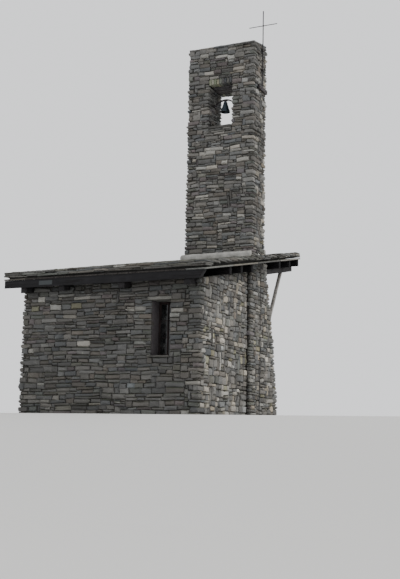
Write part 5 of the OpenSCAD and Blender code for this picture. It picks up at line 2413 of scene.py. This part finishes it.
@dataclass
class Door:
    """Plank door of the chapel's rear, shut for good: boards, strap hinges, nails and ring.

    Attributes:
        strap: Height of a hinge strap.
        strap_thick: Thickness of the straps.
        strap_in: How far the straps lie from the top and the bottom of the boards.
        nail: Radius of a nail's head.
        pitch: Distance from nail to nail.
        ring: Radius of the ring.
    """

    strap: float = 0.045
    strap_thick: float = 0.006
    strap_in: float = 0.3
    nail: float = 0.009
    pitch: float = 0.137
    ring: float = 0.04

    def build(self) -> None:
        """Makes the frame, the boards and the ironwork."""
        casing = bevelled(cast("door_frame", "door_casing"), 0.006, segments=2)
        cut_long_edges(casing, 0.5, 7)
        roughened(casing, 0.005, 0.2)
        dress(casing, "door_timber", replaces=("door_frame",), smooth=35)
        boards = bevelled(cast("door_boards", "door_planks"), 0.004, segments=2)
        cut_long_edges(boards, 0.5, 9)
        roughened(boards, 0.004, 0.16)
        dress(boards, "door_timber", replaces=("door_boards",), smooth=35)
        self.build_iron()

    def build_iron(self) -> None:
        """Makes two strap hinges, rows of nails and a ring on a plate."""
        low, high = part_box("door_boards")
        face = high.y
        heights = (low.z + self.strap_in, high.z - self.strap_in)
        tip = high.x - 0.12
        strap = box_between("strap", (low.x + 0.02, face - 0.002, -self.strap / 2),
                            (tip, face + self.strap_thick, self.strap / 2))
        with editing(strap) as mesh:
            pick(strap, mesh.faces, lambda part: part.normal.x > 0.9)
            bpy.ops.transform.resize(value=(1, 1, 0.25), center_override=(tip, face, 0))
        parts = [repeated(bevelled(strap, 0.0015), [(0, 0, z) for z in heights], "straps")]
        places = [(low.x + 0.06 + self.pitch * i, face + self.strap_thick * 0.6, z)
                  for z in heights for i in range(5)]
        places += [(low.x + 0.068 + self.pitch * i, face - 0.001, (low.z + high.z) / 2 + side)
                   for side in (-0.12, 0.12) for i in range(6)]
        nail = primitive(bpy.ops.mesh.primitive_uv_sphere_add, "nail", (1, 0.55, 1), segments=10,
                         ring_count=6, radius=self.nail)
        parts.append(repeated(nail, places, "nails"))
        hand = Vector((high.x - 0.09, face + 0.012, low.z + 0.95))
        parts.append(worn_box("plate", (hand.x - 0.03, face - 0.002, hand.z - 0.07),
                              (hand.x + 0.03, face + 0.005, hand.z + 0.07), 0.0015))
        parts.append(primitive(
            bpy.ops.mesh.primitive_torus_add, "ring", location=(hand.x, hand.y, hand.z - 0.035),
            rotation=(QUARTER_TURN, 0, 0), major_radius=self.ring, minor_radius=0.006,
            major_segments=28, minor_segments=10))
        dress(joined("door_iron", parts), "dark_iron", smooth=35)


def turned(name: str, centre: Sequence[float], profile: Sequence[Plan], segments: int = 64) -> Object:
    """Turns a closed profile round an upright axis.

    Args:
        name: Name of the object.
        centre: Point on the axis that the profile's heights are measured from.
        profile: Radius and height of each ring, from the middle of one end to that of the other.
        segments: Number of sides.

    Returns:
        The closed object.
    """
    radius, height = profile[0]
    spot = Vector(centre)
    obj = primitive(bpy.ops.mesh.primitive_circle_add, name, vertices=segments, radius=radius,
                    fill_type="NGON", location=spot + Vector((0, 0, height)))
    with editing(obj, "EDGE") as mesh:
        pick(obj, mesh.edges, lambda edge: True)
        for (before, low), (after, high) in zip(profile, profile[1:]):
            bpy.ops.mesh.extrude_region_move(TRANSFORM_OT_translate={"value": (0, 0, high - low)})
            bpy.ops.transform.resize(value=(after / before, after / before, 1),
                                     center_override=spot + Vector((0, 0, high)))
        bpy.ops.mesh.edge_face_add()
        bpy.ops.mesh.select_all(action="SELECT")
        bpy.ops.mesh.normals_make_consistent(inside=False)
    return obj


@dataclass
class BellWork:
    """Bell with its headstock, bearings and clapper.

    Attributes:
        lip: Radius of the lip.
        shoulder: Radius of the shoulder.
        crown: Radius of the crown.
        tall: Height from the lip to the shoulder.
        flare: How strongly it curves out to its lip, where 1 is straight.
        wall: Thickness over the lip.
        strap: Width of the iron straps round the headstock.
        strap_off: How far a strap lies off the middle.
        nuts_off: How far the nuts lie off the middle in x and y.
        rise: Height of the arch's middle line over the swing axis.
        half: Half the arch's length.
        ear: Half the thickness of an ear that bolts a bearing to its jamb.
    """

    lip: float = 0.17
    shoulder: float = 0.062
    crown: float = 0.034
    tall: float = 0.35
    flare: float = 1.2
    wall: float = 0.014
    strap: float = 0.03
    strap_off: float = 0.062
    nuts_off: Plan = (0.035, 0.018)
    rise: float = 0.175
    half: float = 0.34
    ear: float = 0.006

    def build(self) -> None:
        """Makes the bell and the arch that it hangs from."""
        self.build_bell()
        self.build_headstock()
        self.build_clapper()
        self.build_bearings()

    def radius(self, share: float) -> float:
        """Outer radius at a share of the height."""
        return self.shoulder + (self.lip - self.shoulder) * (1 - share) ** self.flare

    def build_bell(self) -> None:
        """Casts the bell: flared lip, raised lines round the waist, shoulder and crown."""
        low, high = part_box("bell")
        centre = SITE.bell_centre
        base = (centre.x, centre.y, low.z)
        steps = 26
        lines = {4: 0.003, 5: 0.003, 13: 0.0025, 15: 0.0025, 21: 0.003, 22: 0.003}
        outer = []
        for i in range(steps + 1):
            share = i / steps
            bead = 0.0 if i else -0.004
            outer.append((self.radius(share) + bead - 0.003, share * self.tall))
            if i in lines:
                z = share * self.tall
                outer += [(self.radius(share) + lines[i] - 0.001, z + 0.002),
                          (self.radius(share) + lines[i] - 0.001, z + 0.006),
                          (self.radius(share + 0.02) - 0.003, z + 0.008)]
        inner = [(self.radius(1 - i / 16) - self.wall - 0.002, (self.tall - self.wall) * (1 - i / 16))
                 for i in range(17)]
        profile = [(0.004, self.tall - self.wall), *inner, *outer,
                   (self.crown + 0.006, self.tall + 0.001), (self.crown, self.tall + 0.006),
                   (self.crown - 0.002, high.z - low.z - 0.004), (0.004, high.z - low.z - 0.001)]
        bell = turned("bell_casting", base, profile, 72)
        dress(bell, "bronze", SWINGING, replaces=("bell",), smooth=32)

    def build_headstock(self) -> None:
        """Dresses the arch with two straps and with four nuts over the crown."""
        centre = SITE.bell_centre
        arch = bevelled(cast("bell_headstock", "arch"), 0.004, segments=2, angle=50)
        low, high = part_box("bell_headstock")
        rim = high.z - centre.z
        bend = (self.half ** 2 + self.rise ** 2) / (2 * self.rise)
        top = centre.z + math.sqrt((bend + rim - self.rise) ** 2 - self.strap_off ** 2) + self.rise - bend
        strap = worn_box("strap", (centre.x - self.strap / 2, low.y + 0.001, top - 0.05),
                         (centre.x + self.strap / 2, high.y - 0.001, top + 0.002), 0.003)
        straps = repeated(strap, [(-self.strap_off, 0, 0), (self.strap_off, 0, 0)], "straps")
        across, deep = self.nuts_off
        nuts = bolt_heads([(centre.x + x, centre.y + y, high.z) for x in (-across, across)
                           for y in (-deep, deep)], 0.009, 0.012, 0.0015, lying=False)
        dress(joined("headstock", [arch, straps, nuts]), "dark_iron", SWINGING,
              replaces=("bell_headstock",), smooth=35)

    def build_clapper(self) -> None:
        """Forges the clapper: rod, ball and flight."""
        low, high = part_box("clapper")
        centre = SITE.bell_centre
        ball = (high.x - low.x) / 2
        base = (centre.x, centre.y, low.z)
        tall = high.z - low.z
        profile = [(0.003, 0.0005)]
        profile += [(ball * math.sin(angle), ball - ball * math.cos(angle))
                    for angle in map(math.radians, range(20, 150, 14))]
        profile += [(0.0085, ball * 1.95), (0.007, tall * 0.4), (0.0075, tall * 0.8), (0.012, tall * 0.93),
                    (0.012, tall - 0.001), (0.003, tall)]
        clapper = turned("clapper_iron", base, profile, 24)
        dress(clapper, "dark_iron", SWINGING, replaces=("clapper",), smooth=35)

    def build_bearings(self) -> None:
        """Bolts each bearing block to its jamb."""
        blocks = bevelled(cast("bell_bearings", "blocks"), 0.003, segments=2, angle=50)
        low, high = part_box("bell_bearings")
        spots = [(side, face, y) for side, face in ((1, low.x), (-1, high.x))
                 for y in (low.y - 0.035, high.y + 0.035)]
        ear = worn_box("ear", (-self.ear, -0.036, 0.005), (self.ear, 0.036, 0.055), 0.002)
        ears = repeated(ear, [(face + side * self.ear, y, low.z) for side, face, y in spots], "ears")
        bolts = bolt_heads([(face + side * 0.017, y, low.z + 0.03) for side, face, y in spots],
                           0.011, 0.012, 0.0015)
        dress(joined("bearing_blocks", [blocks, ears, bolts]), "dark_iron",
              replaces=("bell_bearings",), smooth=35)


@dataclass
class CrossWork:
    """Iron cross on the tower's right face, its brackets and the earth rod.

    Attributes:
        weld: Radius of the weld round a rod.
        bolt: Radius of a bolt's head.
        bolts: Places of the bolts, as shares of the brackets' length.
        clip: Height of an earth rod clip.
        clips: Number of clips.
    """

    weld: float = 0.0175
    bolt: float = 0.013
    bolts: tuple[float, ...] = (0.07, 0.3, 0.8, 0.93)
    clip: float = 0.03
    clips: int = 4

    def build(self) -> None:
        """Dresses the rods and makes the weld at the crossing, the bolts and the clips."""
        for node in ("cross_upright", "cross_bar", "earth_rod"):
            dress_node(node, "cross_iron")
        self.build_crossing()
        self.build_brackets()
        self.build_clips()

    def build_crossing(self) -> None:
        """Wraps a weld round the crossing of the rods."""
        up_low, up_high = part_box("cross_upright")
        bar_low, bar_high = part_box("cross_bar")
        x, y = (up_low.x + up_high.x) / 2, (up_low.y + up_high.y) / 2
        z = (bar_low.z + bar_high.z) / 2
        parts = []
        for spot, turn in (((x, y, z + 0.016), (0, 0, 0)), ((x, y, z - 0.016), (0, 0, 0)),
                           ((x + 0.018, y, z), (0, QUARTER_TURN, 0)),
                           ((x - 0.018, y, z), (0, QUARTER_TURN, 0))):
            parts.append(primitive(
                bpy.ops.mesh.primitive_torus_add, "weld", location=spot, rotation=turn,
                major_radius=self.weld, minor_radius=0.004, major_segments=24, minor_segments=8))
        dress(joined("cross_weld", parts), "cross_iron", smooth=40)

    def build_brackets(self) -> None:
        """Rounds the brackets' edges and bolts them to the wall."""
        irons = bevelled(cast("cross_brackets", "irons"), 0.003, segments=2, angle=50)
        low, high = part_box("cross_brackets")
        bolts = bolt_heads([(high.x + 0.005, low.y + share * (high.y - low.y), low.z + 0.07)
                            for share in self.bolts], self.bolt, 0.014, 0.002)
        dress(joined("bracket_irons", [irons, bolts]), "dark_iron",
              replaces=("cross_brackets",), smooth=35)

    def build_clips(self) -> None:
        """Clips the earth rod to the tower."""
        low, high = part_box("earth_rod")
        y = (low.y + high.y) / 2
        clip = worn_box("clip", (low.x - 0.012, y - 0.03, 0), (high.x + 0.004, y + 0.03, self.clip),
                        0.004, segments=2)
        heights = [0.6 + (high.z - 1.0) * i / (self.clips - 1) for i in range(self.clips)]
        clips = repeated(clip, [(0, 0, z) for z in heights], "earth_rod_clips")
        dress(clips, "cross_iron", smooth=35)


@dataclass
class Studio:
    """Pale floor that sweeps down in front, soft light and the photo's camera.

    Attributes:
        drop: How far the camera's floor lies under the terrace.
        shore: Where the floor begins to fall.
        foot: Where it is level again.
        reach: How far it goes on.
        sky: Strength of the sky's light.
        sun: Strength of the sun's light.
    """

    drop: float = 2.3
    shore: float = -5.4
    foot: float = -12.0
    reach: float = 70.0
    sky: float = 1.25
    sun: float = 1.3

    def build(self) -> None:
        """Sets the floor, the lights and the camera."""
        self.build_floor()
        self.build_light()
        self.build_camera()

    def build_floor(self) -> None:
        """Lays a terrace round the building and lets it sweep down to the camera's floor."""
        floor = primitive(bpy.ops.mesh.primitive_plane_add, "floor",
                          (2 * self.reach, self.reach - self.shore, 1), size=1,
                          location=(0, (self.reach + self.shore) / 2, -0.0005))
        with editing(floor, "EDGE") as mesh:
            pick(floor, mesh.edges, lambda edge: all(v.co.y < self.shore + 0.01 for v in edge.verts))
            steps = 24
            for i in range(steps):
                a, b = i / steps, (i + 1) / steps
                fall = self.drop * (smooth_step(a) - smooth_step(b))
                bpy.ops.mesh.extrude_region_move(TRANSFORM_OT_translate={
                    "value": (0, (self.foot - self.shore) / steps, fall)})
            bpy.ops.mesh.extrude_region_move(TRANSFORM_OT_translate={"value": (0, -self.reach, 0)})
            bpy.ops.mesh.select_all(action="SELECT")
            bpy.ops.mesh.normals_make_consistent(inside=False)
        only(floor)
        bpy.ops.object.shade_smooth()
        graph = Graph("studio_floor")
        graph.settle(Base_Color=(0.62, 0.62, 0.61), Roughness=0.9, Specular_IOR_Level=0.1)
        floor.data.materials.append(graph.material)

    def build_light(self) -> None:
        """Lights the scene as under a bright cover of cloud, brighter from the right."""
        world = bpy.data.worlds.new("overcast")
        world.use_nodes = True
        back = world.node_tree.nodes["Background"]
        back.inputs["Color"].default_value = (0.97, 0.98, 1.0, 1)
        back.inputs["Strength"].default_value = self.sky
        bpy.context.scene.world = world
        bpy.ops.object.light_add(type="SUN", rotation=(math.radians(48), 0, math.radians(96)))
        sun = bpy.context.object
        sun.name = "soft_sun"
        sun.data.energy = self.sun
        sun.data.angle = math.radians(18)
        sun.data.color = (1.0, 0.93, 0.84)

    def build_camera(self) -> None:
        """Sets the camera as the photo was taken."""
        data = bpy.data.cameras.new("photo_camera")
        data.sensor_fit = "VERTICAL"
        data.sensor_height = 24.0
        data.lens = VIEW.focal / VIEW.tall * data.sensor_height
        data.clip_end = 400
        camera = linked("photo_camera", data)
        camera.matrix_world = Matrix.Translation(VIEW.eye) @ VIEW.turn()
        bpy.context.scene.camera = camera


def smooth_step(share: float) -> float:
    """Share that starts and ends without a kink."""
    return share * share * (3 - 2 * share)


def main() -> None:
    """Builds the sub-assemblies in order."""
    logging.basicConfig(level=logging.INFO, format="%(name)s: %(message)s")
    for part in (Walls(), TowerTop(), Roof(), Timberwork(), DressedSlabs(), Window(), Door(),
                 BellWork(), CrossWork(), Studio()):
        part.build()


if __name__ == "__main__":
    main()
